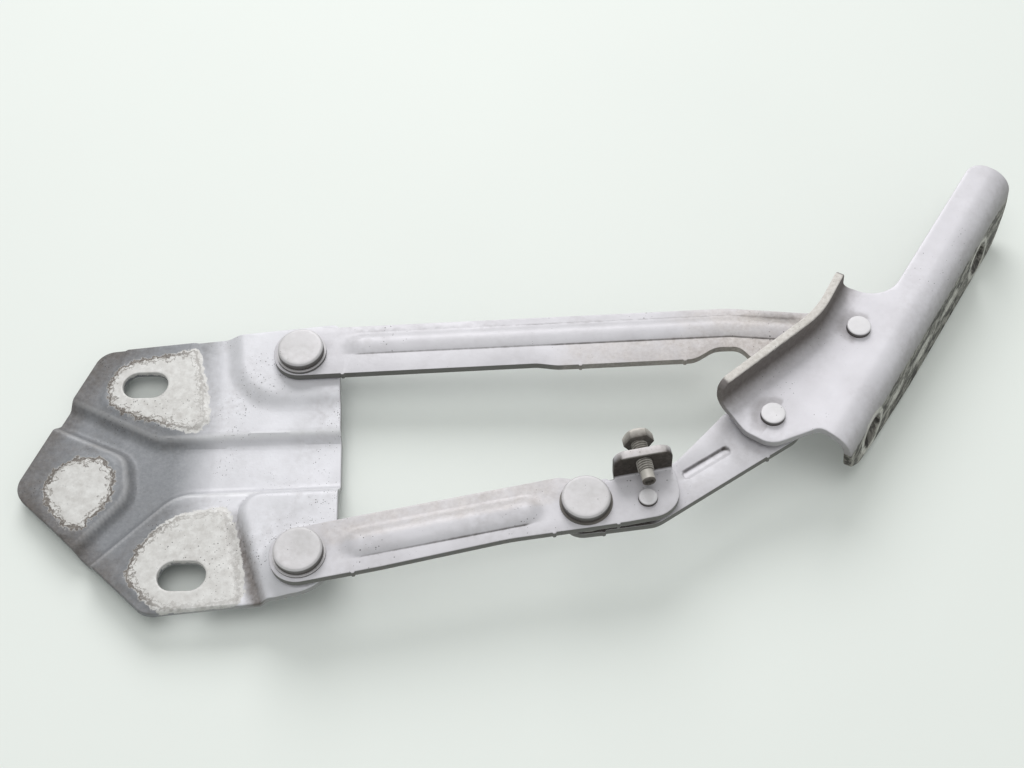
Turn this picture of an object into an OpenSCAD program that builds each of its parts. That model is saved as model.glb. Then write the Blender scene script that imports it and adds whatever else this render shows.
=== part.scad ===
// Bonnet hinge of pressed sheet steel, lying flat with the body bracket at the left.
// X runs along the links towards the bonnet, Y away from the viewer, Z up.
// The origin is the centre of the upper body slot on the plane of the contact pads.

/* [Sheet] */
// thickness of every pressing
sheet_t = 3.2; // [2.6:0.1:3.6]
// play between stacked faces that turn on each other
face_play = 0.05; // [0.02:0.01:0.1]
// radial play of a pin that turns in a bush
pin_play = 0.05; // [0.02:0.01:0.1]
// radial play of a pressed or riveted seat
seat_play = 0.02; // [0.01:0.01:0.05]

/* [Pivots] */
// upper pivot on the body bracket
upper_body_pivot = [63, 9]; // [-20:0.5:120]
// lower pivot on the body bracket
lower_body_pivot = [70, -83]; // [-120:0.5:120]
// knee pivot between lower link and relay link
knee_pivot = [173.5, -64]; // [-120:0.5:220]
// upper pivot on the bonnet bracket
upper_bonnet_pivot = [281.5, 11]; // [-60:0.5:300]
// lower pivot on the bonnet bracket
lower_bonnet_pivot = [244.5, -28.5]; // [-60:0.5:270]
// shear rivet from the knee pivot, along and across the lower link
shear_rivet_at = [22.3, -3.1]; // [-6:0.1:24]

/* [Body slots] */
// lower slot centre from the upper one
lower_slot_at = [25, -85]; // [-88:0.5:28]
// overall length of a body slot
slot_length = 18; // [14:0.5:22]
// width of a body slot
slot_width = 12; // [9:0.5:13]

/* [Body bracket] */
// top left corner of the plate
plate_top_left = [-20, 16.8]; // [-30:0.2:25]
// top right corner of the plate
plate_top_right = [76.9, 26.2]; // [15:0.2:85]
// bottom right corner of the plate
plate_bottom_right = [82.9, -94]; // [-100:0.2:90]
// bottom left corner of the plate
plate_bottom_left = [12.5, -100]; // [-105:0.2:20]
// left corner of the plate
plate_left = [-45, -47.5]; // [-55:0.2:-40]
// rounding of the plate corners
plate_corner_r = 9; // [5:0.5:12]
// height of the contact pads over the plateaus
pad_rise = 0.8; // [0.4:0.1:1.2]
// depth of the channel below the plateaus
channel_depth = 4; // [3:0.2:5]
// horizontal run of the plateau walls
wall_run = 3.7; // [2.5:0.1:5]
// rise of the upper boss over its plateau
upper_boss_rise = 3; // [2:0.1:4]
// horizontal run of the upper boss wall
upper_boss_run = 5.8; // [4:0.1:7]
// rise of the lower step over the plateaus
lower_step_rise = 4; // [3:0.1:4.6]
// horizontal run of the lower step wall
lower_step_run = 6; // [4.5:0.1:6.5]
// foot radius of the cone round the lower pivot
lower_cone_r = 16; // [13:0.5:16.5]

/* [Links] */
// half width of the upper link at its body end
upper_link_half = 11.3; // [10.5:0.1:13]
// half width of the lower link
lower_link_half = 11; // [10.5:0.1:13]
// rounding radius of the relay link at the bonnet end
relay_eye_r = 12; // [11:0.1:13]
// overhang of the lower link past the knee pivot
lower_link_end = 34.6; // [33:0.1:38]
// gap between the two link levels
level_gap = 2; // [1.8:0.1:3]
// rise of the long bead on the upper link
upper_bead_rise = 1.5; // [0.8:0.1:1.5]
// half width of the long bead
upper_bead_half = 5.2; // [4:0.1:6]
// rise of the broad bead on the lower link
lower_bead_rise = 2.2; // [1:0.1:3]
// half width of the broad bead
lower_bead_half = 6.3; // [5:0.1:7]
// depth of the short groove in the relay link
relay_groove_depth = 1.3; // [0.8:0.1:1.5]
// half width of the short groove
relay_groove_half = 2.7; // [2.4:0.1:3.4]
// height of the stop tab over the lower link
tab_height = 12.2; // [11.5:0.1:16]
// width of the stop tab
tab_width = 22; // [16:0.5:24]
// offset of the tab face from the link centre line
tab_offset = 8; // [7.5:0.1:9]

/* [Bonnet bracket] */
// direction of the bonnet flange from the X axis
flange_angle = 57.5; // [50:0.5:65]
// distance from the lower pivot to the start of the flange bend
flange_start = 21.7; // [20.2:0.5:24.2]
// outer radius of the flange bend
flange_bend_r = 10; // [8:0.5:12]
// lean of the flange away from a right angle
flange_lean = 6; // [3:0.5:12]
// flat width of the flange below the bend
flange_width = 22; // [20:0.5:26]
// lower end of the flange from the lower pivot
flange_from = 4; // [2:0.5:6]
// upper end of the flange from the lower pivot
flange_to = 157; // [150:0.5:165]
// first bonnet hole from the lower pivot along the flange
bonnet_hole_from = 23.5; // [21:0.5:30]
// spacing of the bonnet holes along the flange
bonnet_hole_pitch = 104; // [94:0.5:110]
// lower hole centre below the bend of the flange
lower_hole_drop = 7; // [7:0.1:8.5]
// upper hole centre below the bend of the flange
upper_hole_drop = 12.5; // [8:0.1:13]
// diameter of the bonnet holes
bonnet_hole_d = 13; // [9:0.5:13.5]
// rounding of the upper flange corner
flange_corner_r = 15; // [8:0.5:18]
// height of the upstanding stop flange over the bracket
stop_flange_height = 12; // [9:0.2:14]

/* [Rivets] */
// head diameter of the large pivot rivets
head_d = 18; // [16:0.2:20]
// head height of the large pivot rivets
head_h = 3.8; // [3:0.1:4.5]
// pin diameter of the pivots
pin_d = 10; // [8:0.2:10]
// bush wall
bush_wall = 1; // [0.8:0.1:1.2]
// flange thickness of the upper body bush
upper_bush_flange = 1.2; // [0.8:0.1:1.5]
// flange thickness of the other body side bushes
bush_flange = 0.6; // [0.4:0.1:0.8]
// diameter of bush flanges and washers
washer_d = 19.4; // [18:0.2:20]
// thickness of the washer under the upper link
upper_washer_t = 0.6; // [0.4:0.1:1]
// thickness of the washer under the lower link
lower_washer_t = 1.8; // [1.4:0.1:2.4]
// closing head diameter under the plates
tail_d = 15; // [13:0.2:16]
// closing head height under the plates
tail_h = 2.4; // [1.8:0.1:3]
// diameter of the small formed heads on the bonnet bracket
small_head_d = 9.4; // [8.6:0.2:11]
// height of the small formed heads
small_head_h = 2.2; // [1.4:0.1:3]
// neck diameter under the small formed heads
small_neck_d = 7; // [6:0.2:7.4]
// pin diameter at the upper bonnet pivot
open_pin_d = 8; // [7.6:0.2:9]
// clearance of the open pivot beyond its collar, at rest
open_clearance = 2.2; // [2:0.1:2.6]
// lift of the open pivot notch across the upper link
open_lift = [5.6, 11]; // [3:0.5:16]
// head diameter of the shear rivet
shear_head_d = 7.2; // [6:0.2:8]
// head height of the shear rivet
shear_head_h = 1.6; // [1:0.1:2.2]
// shank diameter of the shear rivet
shear_d = 4; // [3:0.2:5]

/* [Stop bolt] */
// thread diameter of the stop bolt
bolt_d = 6; // [5:0.5:6]
// width across flats of the hexagon head
bolt_flats = 10; // [8:0.5:10]
// height of the hexagon head
bolt_head_h = 4; // [3:0.2:5]
// height of the bolt axis over the lower link
bolt_height = 7.1; // [6.5:0.1:8]
// bolt axis from the knee pivot along the lower link
bolt_along = 23.2; // [21:0.1:25]
// gap between head and tab
bolt_gap = 4.8; // [4.4:0.1:6]
// reach of the threaded part in front of the tab
bolt_reach = 4.6; // [3:0.1:6]
// length of the plain tip
bolt_tip_length = 4; // [2:0.1:5]
// diameter of the plain tip
bolt_tip_d = 4.6; // [3.5:0.1:4.8]

/* [Hidden] */
$fn = 64;
arc_steps = 8;
hollow_share = 0.8;
through = 40;
overlap = 0.5;
open_gap = 0.3;
bolt_head_turn = 12;
plateau_z = -pad_rise;
channel_z = plateau_z - channel_depth;
upper_boss_z = plateau_z + upper_boss_rise;
low_z = upper_boss_z + upper_washer_t;
low_top = low_z + sheet_t;
high_z = low_top + level_gap;
high_top = high_z + sheet_t;
lower_boss_z = high_z - lower_washer_t;
lower_step_z = plateau_z + lower_step_rise;
pin_r = pin_d / 2;
bush_r = pin_r + bush_wall;
eye_bore_r = bush_r + seat_play;
upper_angle = direction(upper_bonnet_pivot - upper_body_pivot);
upper_length = norm(upper_bonnet_pivot - upper_body_pivot);
lower_angle = direction(knee_pivot - lower_body_pivot);
lower_length = norm(knee_pivot - lower_body_pivot);
relay_angle = direction(lower_bonnet_pivot - knee_pivot);
relay_length = norm(lower_bonnet_pivot - knee_pivot);
bracket_angle = flange_angle - 90;
flange_turn = 90 - flange_lean;
collar_r = open_pin_d / 2 + bush_wall;
notch_r = collar_r + open_clearance;
upper_pivot_local = turned(upper_bonnet_pivot - lower_bonnet_pivot, -bracket_angle);
shear_at = knee_pivot + turned(shear_rivet_at, lower_angle);
bolt_axis_z = high_top + bolt_height;

// plan helpers
function direction(v) = atan2(v[1], v[0]);
function unit(v) = v / norm(v);
function left_of(v) = [-v[1], v[0]];
function turned(v, a) = [v[0] * cos(a) - v[1] * sin(a), v[0] * sin(a) + v[1] * cos(a)];
function wrap(a) = a > 180 ? a - 360 : a < -180 ? a + 360 : a;
function before(p, i) = p[(i + len(p) - 1) % len(p)];
function after(p, i) = p[(i + 1) % len(p)];

// arc that rounds the corner v between a and b
function corner_arc(a, v, b, r) =
  let (
    u = unit(a - v),
    w = unit(b - v),
    half = acos(u * w) / 2,
    reach = r / tan(half),
    centre = v + unit(u + w) * r / sin(half),
    start = direction(v + u * reach - centre),
    sweep = wrap(direction(v + w * reach - centre) - start)
  )
  [for (k = [0 : arc_steps]) centre + r * [cos(start + sweep * k / arc_steps), sin(start + sweep * k / arc_steps)]];

function rounded(p, r) = [for (i = [0 : len(p) - 1]) each corner_arc(before(p, i), p[i], after(p, i), r[i])];

// corners moved inwards by d, for corners listed anticlockwise
function inset(p, d) =
  [for (i = [0 : len(p) - 1])
    let (n1 = left_of(unit(p[i] - before(p, i))), n2 = left_of(unit(after(p, i) - p[i])))
    p[i] + d * (n1 + n2) / (1 + n1 * n2)];

function is_convex(p, i) =
  let (u = p[i] - before(p, i), w = after(p, i) - p[i])
  u[0] * w[1] - u[1] * w[0] > 0;

function inset_radii(p, r, d) = [for (i = [0 : len(p) - 1]) is_convex(p, i) ? max(r[i] - d, 0.6) : r[i] + d];

// raised area with walls that lean inwards by run between two heights
module raised(p, r, z0, z1, run) {
  low = rounded(p, r);
  high = rounded(inset(p, run), inset_radii(p, r, run));
  n = len(low);
  polyhedron(
    points = concat([for (q = low) [q[0], q[1], z0]], [for (q = high) [q[0], q[1], z1]]),
    faces = concat(
      [[for (i = [0 : n - 1]) i]],
      [[for (i = [n - 1 : -1 : 0]) n + i]],
      [for (i = [0 : n - 1]) each [[i, n + i, n + (i + 1) % n], [i, n + (i + 1) % n, (i + 1) % n]]]
    )
  );
}

// space under a raised area, about one sheet thickness inside its skin
module hollow(p, r, z0, z1, run) {
  rise = z1 - z0;
  skin = sheet_t * (sqrt(rise * rise + run * run) - run) / rise + run * hollow_share;
  floor_z = channel_z - sheet_t - 1;
  plate(inset(p, skin), inset_radii(p, r, skin), floor_z, z1 - sheet_t - floor_z);
}

module plate(p, r, z, t) translate([0, 0, z]) linear_extrude(t) polygon(rounded(p, r));
module pin(r, z0, z1) translate([0, 0, z0]) cylinder(r = r, h = z1 - z0);
module bore(at, r) translate([at[0], at[1], -through]) cylinder(r = r, h = 2 * through);
module tube(ro, ri, z0, z1) {
  difference() {
    pin(ro, z0, z1);
    pin(ri, z0 - 1, z1 + 1);
  }
}
module at_pivot(p) translate([p[0], p[1], 0]) children();

// round headed dome edge: a straight head with a chamfered rim
module head(r, z0, h) {
  rim = h * 0.22;
  pin(r, z0, z0 + h - rim);
  translate([0, 0, z0 + h - rim]) cylinder(r1 = r, r2 = r - rim, h = rim);
}
module tail(r, z1, h) {
  rim = h * 0.3;
  pin(r, z1 - h + rim, z1);
  translate([0, 0, z1 - h]) cylinder(r1 = r - rim, r2 = r, h = rim);
}

// body bracket
plate_corners = [plate_top_left, plate_left, plate_bottom_left, plate_bottom_right, plate_top_right];
plate_radii = [plate_corner_r, plate_corner_r, plate_corner_r, plate_corner_r * 1.7, plate_corner_r * 0.4];
beyond = 60;
upper_area = [
  [plate_left[0] - 8, 3], [7.8, -28.2], [plate_top_right[0] + beyond, -25], [plate_top_right[0] + beyond, beyond],
  [plate_left[0] - 8, beyond]
];
upper_area_r = [9, 18, 9, 9, 9];
left_area = [[plate_left[0] - 20, -0.5], [plate_left[0] - 20, -beyond], [-26, -87], [3, -51], [-1, -30.8]];
left_area_r = [9, 9, 9, 14, 11];
lower_area = [
  [-27, -93], [0, plate_bottom_left[1] - beyond], [plate_top_right[0] + beyond, plate_bottom_left[1] - beyond],
  [plate_top_right[0] + beyond, -44.5], [17, -47.3]
];
lower_area_r = [9, 9, 9, 9, 18];
upper_boss = [
  [25, beyond], [36, -13.8], [plate_top_right[0] + beyond, -9.5], [plate_top_right[0] + beyond, beyond]
];
upper_boss_r = [9, 24, 9, 9];
lower_step = [
  [34.5, -47], [59.5, plate_bottom_left[1] - 18], [plate_top_right[0] + beyond, plate_bottom_left[1] - 18],
  [plate_top_right[0] + beyond, -44.9]
];
lower_step_r = [13, 9, 9, 9];
upper_pad = [[-10, beyond], [-10.5, 15.5], [-19, -8.5], [13, -23], [29, -19.5], [18, 22], [16, beyond]];
upper_pad_r = [1, 6, 7, 9, 4, 2, 1];
left_pad = [[-24, -31], [-37, -51], [-28, -66.5], [-19, -68.5], [-3, -50], [-6, -31.5]];
left_pad_r = [7, 8, 4, 4, 9, 8];
lower_pad = [[0, -86.5], [17, -99.5], [48, -97.5], [38, -55.5], [13, -62]];
lower_pad_r = [3, 2, 2, 5, 14];

module body_slot(at) {
  half = (slot_length - slot_width) / 2;
  for (side = [-1, 1]) bore(at + [side * half, 0], slot_width / 2);
  translate([at[0] - half, at[1] - slot_width / 2, -through]) cube([2 * half, slot_width, 2 * through]);
}

module lower_cone(z0, z1) at_pivot(lower_body_pivot) translate([0, 0, z0])
  cylinder(r1 = lower_cone_r, r2 = washer_d / 2 + overlap, h = z1 - z0);

module body_bracket() color([0.72, 0.72, 0.74]) {
  difference() {
    intersection() {
      plate(plate_corners, plate_radii, -through, 2 * through);
      difference() {
        union() {
          translate([-through * 2, -through * 4, channel_z - sheet_t]) cube([through * 5, through * 5, sheet_t]);
          raised(upper_area, upper_area_r, channel_z - seat_play, plateau_z, wall_run);
          raised(left_area, left_area_r, channel_z - seat_play, plateau_z, wall_run);
          raised(lower_area, lower_area_r, channel_z - seat_play, plateau_z, wall_run);
          raised(upper_boss, upper_boss_r, plateau_z - seat_play, upper_boss_z, upper_boss_run);
          raised(lower_step, lower_step_r, channel_z - seat_play, lower_step_z, lower_step_run);
          lower_cone(lower_step_z - seat_play, lower_boss_z);
          plate(upper_pad, upper_pad_r, plateau_z - 1, pad_rise + 1);
          plate(left_pad, left_pad_r, plateau_z - 1, pad_rise + 1);
          plate(lower_pad, lower_pad_r, plateau_z - 1, pad_rise + 1);
        }
        hollow(upper_area, upper_area_r, channel_z, plateau_z, wall_run);
        hollow(left_area, left_area_r, channel_z, plateau_z, wall_run);
        hollow(lower_area, lower_area_r, channel_z, plateau_z, wall_run);
        hollow(upper_boss, upper_boss_r, plateau_z, upper_boss_z, upper_boss_run);
        hollow(lower_step, lower_step_r, channel_z, lower_step_z, lower_step_run);
        lower_cone(lower_step_z - sheet_t - overlap, lower_boss_z - sheet_t);
      }
    }
    body_slot([0, 0]);
    body_slot(lower_slot_at);
    bore(upper_body_pivot, pin_r + seat_play);
    bore(lower_body_pivot, pin_r + seat_play);
  }
}

// long raised bead with a hollow back, from point a to point b
module bead(a, b, half, rise, z) {
  reach = norm(b - a);
  r = (half * half + rise * rise) / (2 * rise);
  translate([a[0], a[1], z + rise - r]) rotate([0, 0, direction(b - a)]) {
    rotate([0, 90, 0]) cylinder(r = r, h = reach);
    sphere(r = r);
    translate([reach, 0, 0]) sphere(r = r);
  }
}
module slab(z, t) translate([-through, -through * 2, z]) cube([through * 8, through * 4, t]);

upper_bead_from = [24.5, 4.4];
upper_bead_to = [178, 7];
upper_eye_round = upper_link_half - 0.4;
upper_back = 12;
upper_under = 10.4;
upper_jog_from = [93, -8.1];
upper_jog_to = [101, -9.4];
upper_jog_round = 12;
upper_end_over = 12;
upper_end_round = 11;
arch_start = [154.8, -8.4];
arch_left = [163, -3.1];
arch_right = [172.5, -3.1];
arch_end = [179.9, -12.5];
arch_round = [10, 9, 6, 4];
upper_crest = [169.5, 15.7];
upper_crest_round = 40;
upper_neck = [200, 12.1];
upper_neck_round = 30;
module upper_outline(z, t) {
  end = upper_length + upper_end_over;
  plate(
    [
      [-upper_link_half, -upper_under], upper_jog_from, upper_jog_to, arch_start, arch_left, arch_right,
      arch_end, [end, -upper_back], [end, upper_back], upper_neck, upper_crest, [-upper_link_half, upper_back]
    ],
    concat(
      [upper_eye_round, upper_jog_round, upper_jog_round], arch_round,
      [upper_end_round, upper_end_round, upper_neck_round, upper_crest_round, upper_eye_round]
    ), z, t
  );
}
module upper_link() color([0.80, 0.79, 0.81]) {
  at_pivot(upper_body_pivot) rotate([0, 0, upper_angle]) {
    difference() {
      union() {
        upper_outline(low_z, sheet_t);
        intersection() {
          bead(upper_bead_from, upper_bead_to, upper_bead_half, upper_bead_rise, low_top);
          slab(low_z + sheet_t / 2, sheet_t);
        }
      }
      intersection() {
        bead(upper_bead_from, upper_bead_to, upper_bead_half, upper_bead_rise, low_z);
        slab(low_z - 1, sheet_t);
      }
      bore([0, 0], eye_bore_r);
      open_notch();
    }
  }
}
// the upper bonnet pivot is open: its collar leaves this notch as the linkage folds
module open_notch() {
  start = [upper_length, 0];
  bore(start, notch_r);
  lift_angle = direction(open_lift);
  translate([start[0], start[1], -through]) rotate([0, 0, lift_angle])
    translate([0, -notch_r, 0]) cube([norm(open_lift) * 2, 2 * notch_r, 2 * through]);
}

// lower link with the upstanding stop tab
lower_end = lower_length + lower_link_end;
tab_from = lower_end - tab_width;
lower_bead_from = [21.5, 0.6];
lower_bead_to = [83, 1.3];
lower_waist_from = [28, -10.8];
lower_waist = [75, -9.2];
lower_waist_to = [118, -lower_link_half];
lower_waist_round = 100;
lower_crown = [tab_from - 20, lower_link_half + 1.2];
module lower_outline() {
  plate(
    [
      [-lower_link_half, -lower_link_half], lower_waist_from, lower_waist, lower_waist_to,
      [lower_end, -lower_link_half], [lower_end, tab_offset + sheet_t],
      [tab_from, tab_offset + sheet_t], [tab_from - 1, tab_offset], [tab_from - 8, tab_offset + 0.4],
      lower_crown, [-lower_link_half, lower_link_half]
    ],
    concat(
      [lower_link_half - 0.5, lower_waist_round, lower_waist_round, lower_waist_round],
      [11, 0.5, 0.4, 0.8, 6, 8, lower_link_half - 0.5]
    ), high_z, sheet_t
  );
}
module stop_tab() {
  tab_r = 4;
  translate([0, tab_offset + sheet_t, 0]) rotate([90, 0, 0])
    plate(
      [
        [tab_from, high_z], [lower_end, high_z], [lower_end, high_top + tab_height],
        [tab_from, high_top + tab_height]
      ],
      [0.4, 0.4, tab_r, tab_r], 0, sheet_t
    );
}
module lower_link() color([0.80, 0.79, 0.81]) {
  at_pivot(lower_body_pivot) rotate([0, 0, lower_angle]) {
    difference() {
      union() {
        lower_outline();
        stop_tab();
        intersection() {
          bead(lower_bead_from, lower_bead_to, lower_bead_half, lower_bead_rise, high_top);
          slab(high_z + sheet_t / 2, sheet_t + lower_bead_rise);
        }
      }
      intersection() {
        bead(lower_bead_from, lower_bead_to, lower_bead_half, lower_bead_rise, high_z);
        slab(high_z - 1, sheet_t + lower_bead_rise);
      }
      bore([0, 0], eye_bore_r);
      bore([lower_length, 0], eye_bore_r);
      bore([lower_length, 0] + shear_rivet_at, shear_d / 2 + seat_play);
      translate([lower_length + bolt_along, 0, bolt_axis_z]) rotate([-90, 0, 0])
        cylinder(r = bolt_d / 2 + pin_play, h = through);
    }
  }
}

// relay link between knee and bonnet bracket
relay_groove_from = [40.3, -4.5];
relay_groove_to = [57.2, -2.7];
relay_heel = [-10.5, -7];
relay_belly = [20, -17.5];
relay_end_drop = 9.6;
relay_shoulder = [66, relay_eye_r];
relay_waist = [38, 1.6];
relay_toe = [-9.5, 11.5];
relay_end = relay_length + relay_eye_r;
relay_round = [8, 12, relay_eye_r - 1, relay_eye_r - 0.5, 15, 12, 8];
module groove(z) translate([0, 0, 2 * z]) mirror([0, 0, 1])
  bead(relay_groove_from, relay_groove_to, relay_groove_half, relay_groove_depth, z);
module relay_link() color([0.80, 0.79, 0.81]) {
  at_pivot(knee_pivot) rotate([0, 0, relay_angle]) {
    difference() {
      union() {
        plate(
          [
            relay_heel, relay_belly, [relay_end, -relay_end_drop], [relay_end, relay_eye_r], relay_shoulder,
            relay_waist, relay_toe
          ],
          relay_round, low_z, sheet_t
        );
        intersection() {
          groove(low_z);
          slab(low_z - sheet_t / 2, sheet_t);
        }
      }
      groove(low_top);
      bore([0, 0], pin_r + seat_play);
      bore([relay_length, 0], eye_bore_r);
      bore(turned(shear_rivet_at, lower_angle - relay_angle), shear_d / 2 + seat_play);
    }
  }
}

// bonnet bracket: web, upstanding stop flange and bent down bonnet flange
web_tip = [-21.1, -1.6];
web_turn = [-5.7, 44.6];
web_top = 70;
web_crown = [-7.2, web_top];
arm_edge = 13.5;
web_foot_left = [-6, -11.4];
web_foot_right = [5.5, -11.6];
web_notch = [17.5, flange_from + 0.5];
web_round = [4, 12, 9, 3, 0.4, 0.4, 2.5, 13, 0.4, 24];
stop_round = [4, 12, 9, 1, 0.4, 0.4, 24];
stop_inner_round = 22;
module web() {
  plate(
    [
      web_tip, web_foot_left, web_foot_right, web_notch, [flange_start, flange_from], [flange_start, flange_to],
      [arm_edge, flange_to], [arm_edge, web_top], web_crown, web_turn
    ],
    web_round, high_z, sheet_t
  );
}
module stop_flange() {
  along = unit(web_turn - web_tip);
  outside = left_of(along);
  inner_turn = inset([web_tip, web_turn, web_crown], -sheet_t)[1];
  intersection() {
    plate(
      [
        web_tip, web_foot_left, web_foot_right, [flange_start, flange_from], [flange_start, web_top],
        web_crown, web_turn
      ],
      stop_round, high_z, sheet_t + stop_flange_height
    );
    translate([0, 0, high_z]) linear_extrude(sheet_t + stop_flange_height)
      polygon(rounded(
        [
          web_tip + outside * 2 - along * 2, web_tip - outside * sheet_t, inner_turn,
          web_crown + [sheet_t, 0], web_crown - [2, 0], web_turn - [2, 0]
        ],
        [0.2, 0.2, stop_inner_round, 0.2, 0.2, 24]
      ));
  }
}
// section of the flange: x away from the web, y up
module flange_profile() {
  inner_r = flange_bend_r - sheet_t;
  lead = tan(flange_turn / 2);
  down = [cos(flange_turn), -sin(flange_turn)];
  out = [sin(flange_turn), cos(flange_turn)];
  top = [-sheet_t, flange_bend_r];
  under = [-sheet_t, inner_r];
  outer_end = out * flange_bend_r + down * flange_width;
  inner_end = out * inner_r + down * flange_width;
  translate([flange_start, high_top - flange_bend_r])
    polygon(concat(
      [top], corner_arc(top, [lead * flange_bend_r, flange_bend_r], outer_end, flange_bend_r),
      [outer_end, inner_end], corner_arc(inner_end, [lead * inner_r, inner_r], under, inner_r), [under]
    ));
}
// metal missing at the lower end of the flange, in the plane of its face
flange_tip = [7, flange_from - 1];
flange_shoulder = [14.5, 12];
flange_slope = [18, 27];
flange_slope_end = 62;
flange_cut_round = [0.2, 12, 30, 1, 1, 1];
module flange_lower_cut() {
  outside = flange_width + 8;
  plate(
    [
      flange_tip, flange_shoulder, flange_slope, [flange_width + overlap, flange_slope_end],
      [outside, flange_slope_end], [outside, flange_from - 1]
    ],
    flange_cut_round, -through, 2 * through
  );
}
module bonnet_flange() {
  difference() {
    translate([0, flange_to, 0]) rotate([90, 0, 0]) linear_extrude(flange_to - flange_from) flange_profile();
    flange_face() {
      bore([lower_hole_drop, bonnet_hole_from], bonnet_hole_d / 2);
      bore([upper_hole_drop, bonnet_hole_from + bonnet_hole_pitch], bonnet_hole_d / 2);
      flange_lower_cut();
      flange_upper_cut();
    }
  }
}
// plane of the flange: x down the flange from the bend, y along it
module flange_face() {
  translate([flange_start, 0, high_top - flange_bend_r]) rotate([0, flange_turn, 0]) children();
}
module flange_upper_cut() {
  r = flange_corner_r;
  centre = [flange_width - r, flange_to - r];
  difference() {
    translate([centre[0], centre[1], -through]) cube([r + 1, r + 1, 2 * through]);
    bore(centre, r);
  }
}
module bonnet_bracket() color([0.82, 0.81, 0.83]) {
  at_pivot(lower_bonnet_pivot) rotate([0, 0, bracket_angle]) {
    difference() {
      union() {
        web();
        stop_flange();
        bonnet_flange();
      }
      bore([0, 0], small_neck_d / 2 + seat_play);
      bore(upper_pivot_local, small_neck_d / 2 + seat_play);
    }
  }
}

// pivot rivets
module body_rivet(at, boss_z, head_z) {
  at_pivot(at) {
    head(head_d / 2, head_z, head_h);
    pin(pin_r, boss_z - sheet_t - overlap, head_z + overlap);
    tail(tail_d / 2, boss_z - sheet_t - face_play, tail_h);
  }
}
module upper_body_rivet() color([0.74, 0.73, 0.74])
  body_rivet(upper_body_pivot, upper_boss_z, low_top + upper_bush_flange + 2 * face_play);
module lower_body_rivet() color([0.74, 0.73, 0.74])
  body_rivet(lower_body_pivot, lower_boss_z, high_top + bush_flange + 2 * face_play);
module knee_rivet() color([0.74, 0.73, 0.74])
  body_rivet(knee_pivot, low_top, high_top + bush_flange + 2 * face_play);
module bonnet_rivet(at, r) {
  at_pivot(at) {
    head(small_head_d / 2, high_top, small_head_h);
    pin(small_neck_d / 2, high_z - overlap, high_top + overlap);
    pin(r, low_z - overlap, high_z - face_play);
    tail(tail_d / 2, low_z - 2 * face_play, tail_h);
  }
}
module upper_bonnet_rivet() color([0.78, 0.78, 0.80]) bonnet_rivet(upper_bonnet_pivot, open_pin_d / 2);
module lower_bonnet_rivet() color([0.78, 0.78, 0.80]) bonnet_rivet(lower_bonnet_pivot, pin_r);
module shear_rivet() color([0.78, 0.78, 0.80]) {
  at_pivot(shear_at) {
    head(shear_head_d / 2, high_top, shear_head_h);
    pin(shear_d / 2, low_z - overlap, high_top + overlap);
    tail(shear_head_d / 2, low_z, shear_head_h);
  }
}

// flanged bushes
module body_bush(at, z, flange) {
  at_pivot(at) {
    tube(bush_r, pin_r + pin_play, z + face_play, z + sheet_t + face_play);
    tube(washer_d / 2, pin_r + pin_play, z + sheet_t + face_play, z + sheet_t + face_play + flange);
  }
}
module upper_body_bush() color([0.60, 0.58, 0.55]) body_bush(upper_body_pivot, low_z, upper_bush_flange);
module lower_body_bush() color([0.60, 0.58, 0.55]) body_bush(lower_body_pivot, high_z, bush_flange);
module knee_bush() color([0.60, 0.58, 0.55]) body_bush(knee_pivot, high_z, bush_flange);
module upper_bonnet_bush() color([0.60, 0.58, 0.55])
  at_pivot(upper_bonnet_pivot) tube(collar_r, open_pin_d / 2 + seat_play, low_z, low_top);
module lower_bonnet_bush() color([0.60, 0.58, 0.55])
  at_pivot(lower_bonnet_pivot) tube(bush_r, pin_r + pin_play, low_z + face_play, low_top);

// washers between the levels
module washer(at, r, z0, z1) at_pivot(at) tube(washer_d / 2, r, z0 + face_play, z1 - face_play);
module upper_body_washer() color([0.55, 0.55, 0.56])
  washer(upper_body_pivot, pin_r + pin_play, upper_boss_z, low_z);
module lower_body_washer() color([0.55, 0.55, 0.56])
  washer(lower_body_pivot, pin_r + pin_play, lower_boss_z, high_z);
module knee_washer() color([0.55, 0.55, 0.56]) washer(knee_pivot, pin_r + pin_play, low_top, high_z);
module upper_bonnet_washer() color([0.55, 0.55, 0.56])
  washer(upper_bonnet_pivot, open_pin_d / 2 + seat_play, low_top + open_gap, high_z);
module lower_bonnet_washer() color([0.55, 0.55, 0.56])
  washer(lower_bonnet_pivot, pin_r + pin_play, low_top, high_z);

// adjustable stop bolt in the tab
module stop_bolt() color([0.62, 0.60, 0.57]) {
  back = tab_offset + sheet_t;
  at_pivot(lower_body_pivot) rotate([0, 0, lower_angle])
    translate([lower_length + bolt_along, back + bolt_gap, bolt_axis_z]) rotate([90, 0, 0]) {
      rotate([0, 0, bolt_head_turn]) translate([0, 0, -bolt_head_h])
        cylinder(r = bolt_flats / 2 / cos(30), h = bolt_head_h, $fn = 6);
      cylinder(r = bolt_d / 2, h = bolt_gap + sheet_t + bolt_reach);
      cylinder(r = bolt_tip_d / 2, h = bolt_gap + sheet_t + bolt_reach + bolt_tip_length);
    }
}

body_bracket();
upper_link();
lower_link();
relay_link();
bonnet_bracket();
upper_body_rivet();
lower_body_rivet();
knee_rivet();
upper_bonnet_rivet();
lower_bonnet_rivet();
shear_rivet();
stop_bolt();
upper_body_bush();
lower_body_bush();
knee_bush();
upper_bonnet_bush();
lower_bonnet_bush();
upper_body_washer();
lower_body_washer();
knee_washer();
upper_bonnet_washer();
lower_bonnet_washer();
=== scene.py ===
import bpy
import math
import numpy as np
from mathutils import Matrix, Vector


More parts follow.
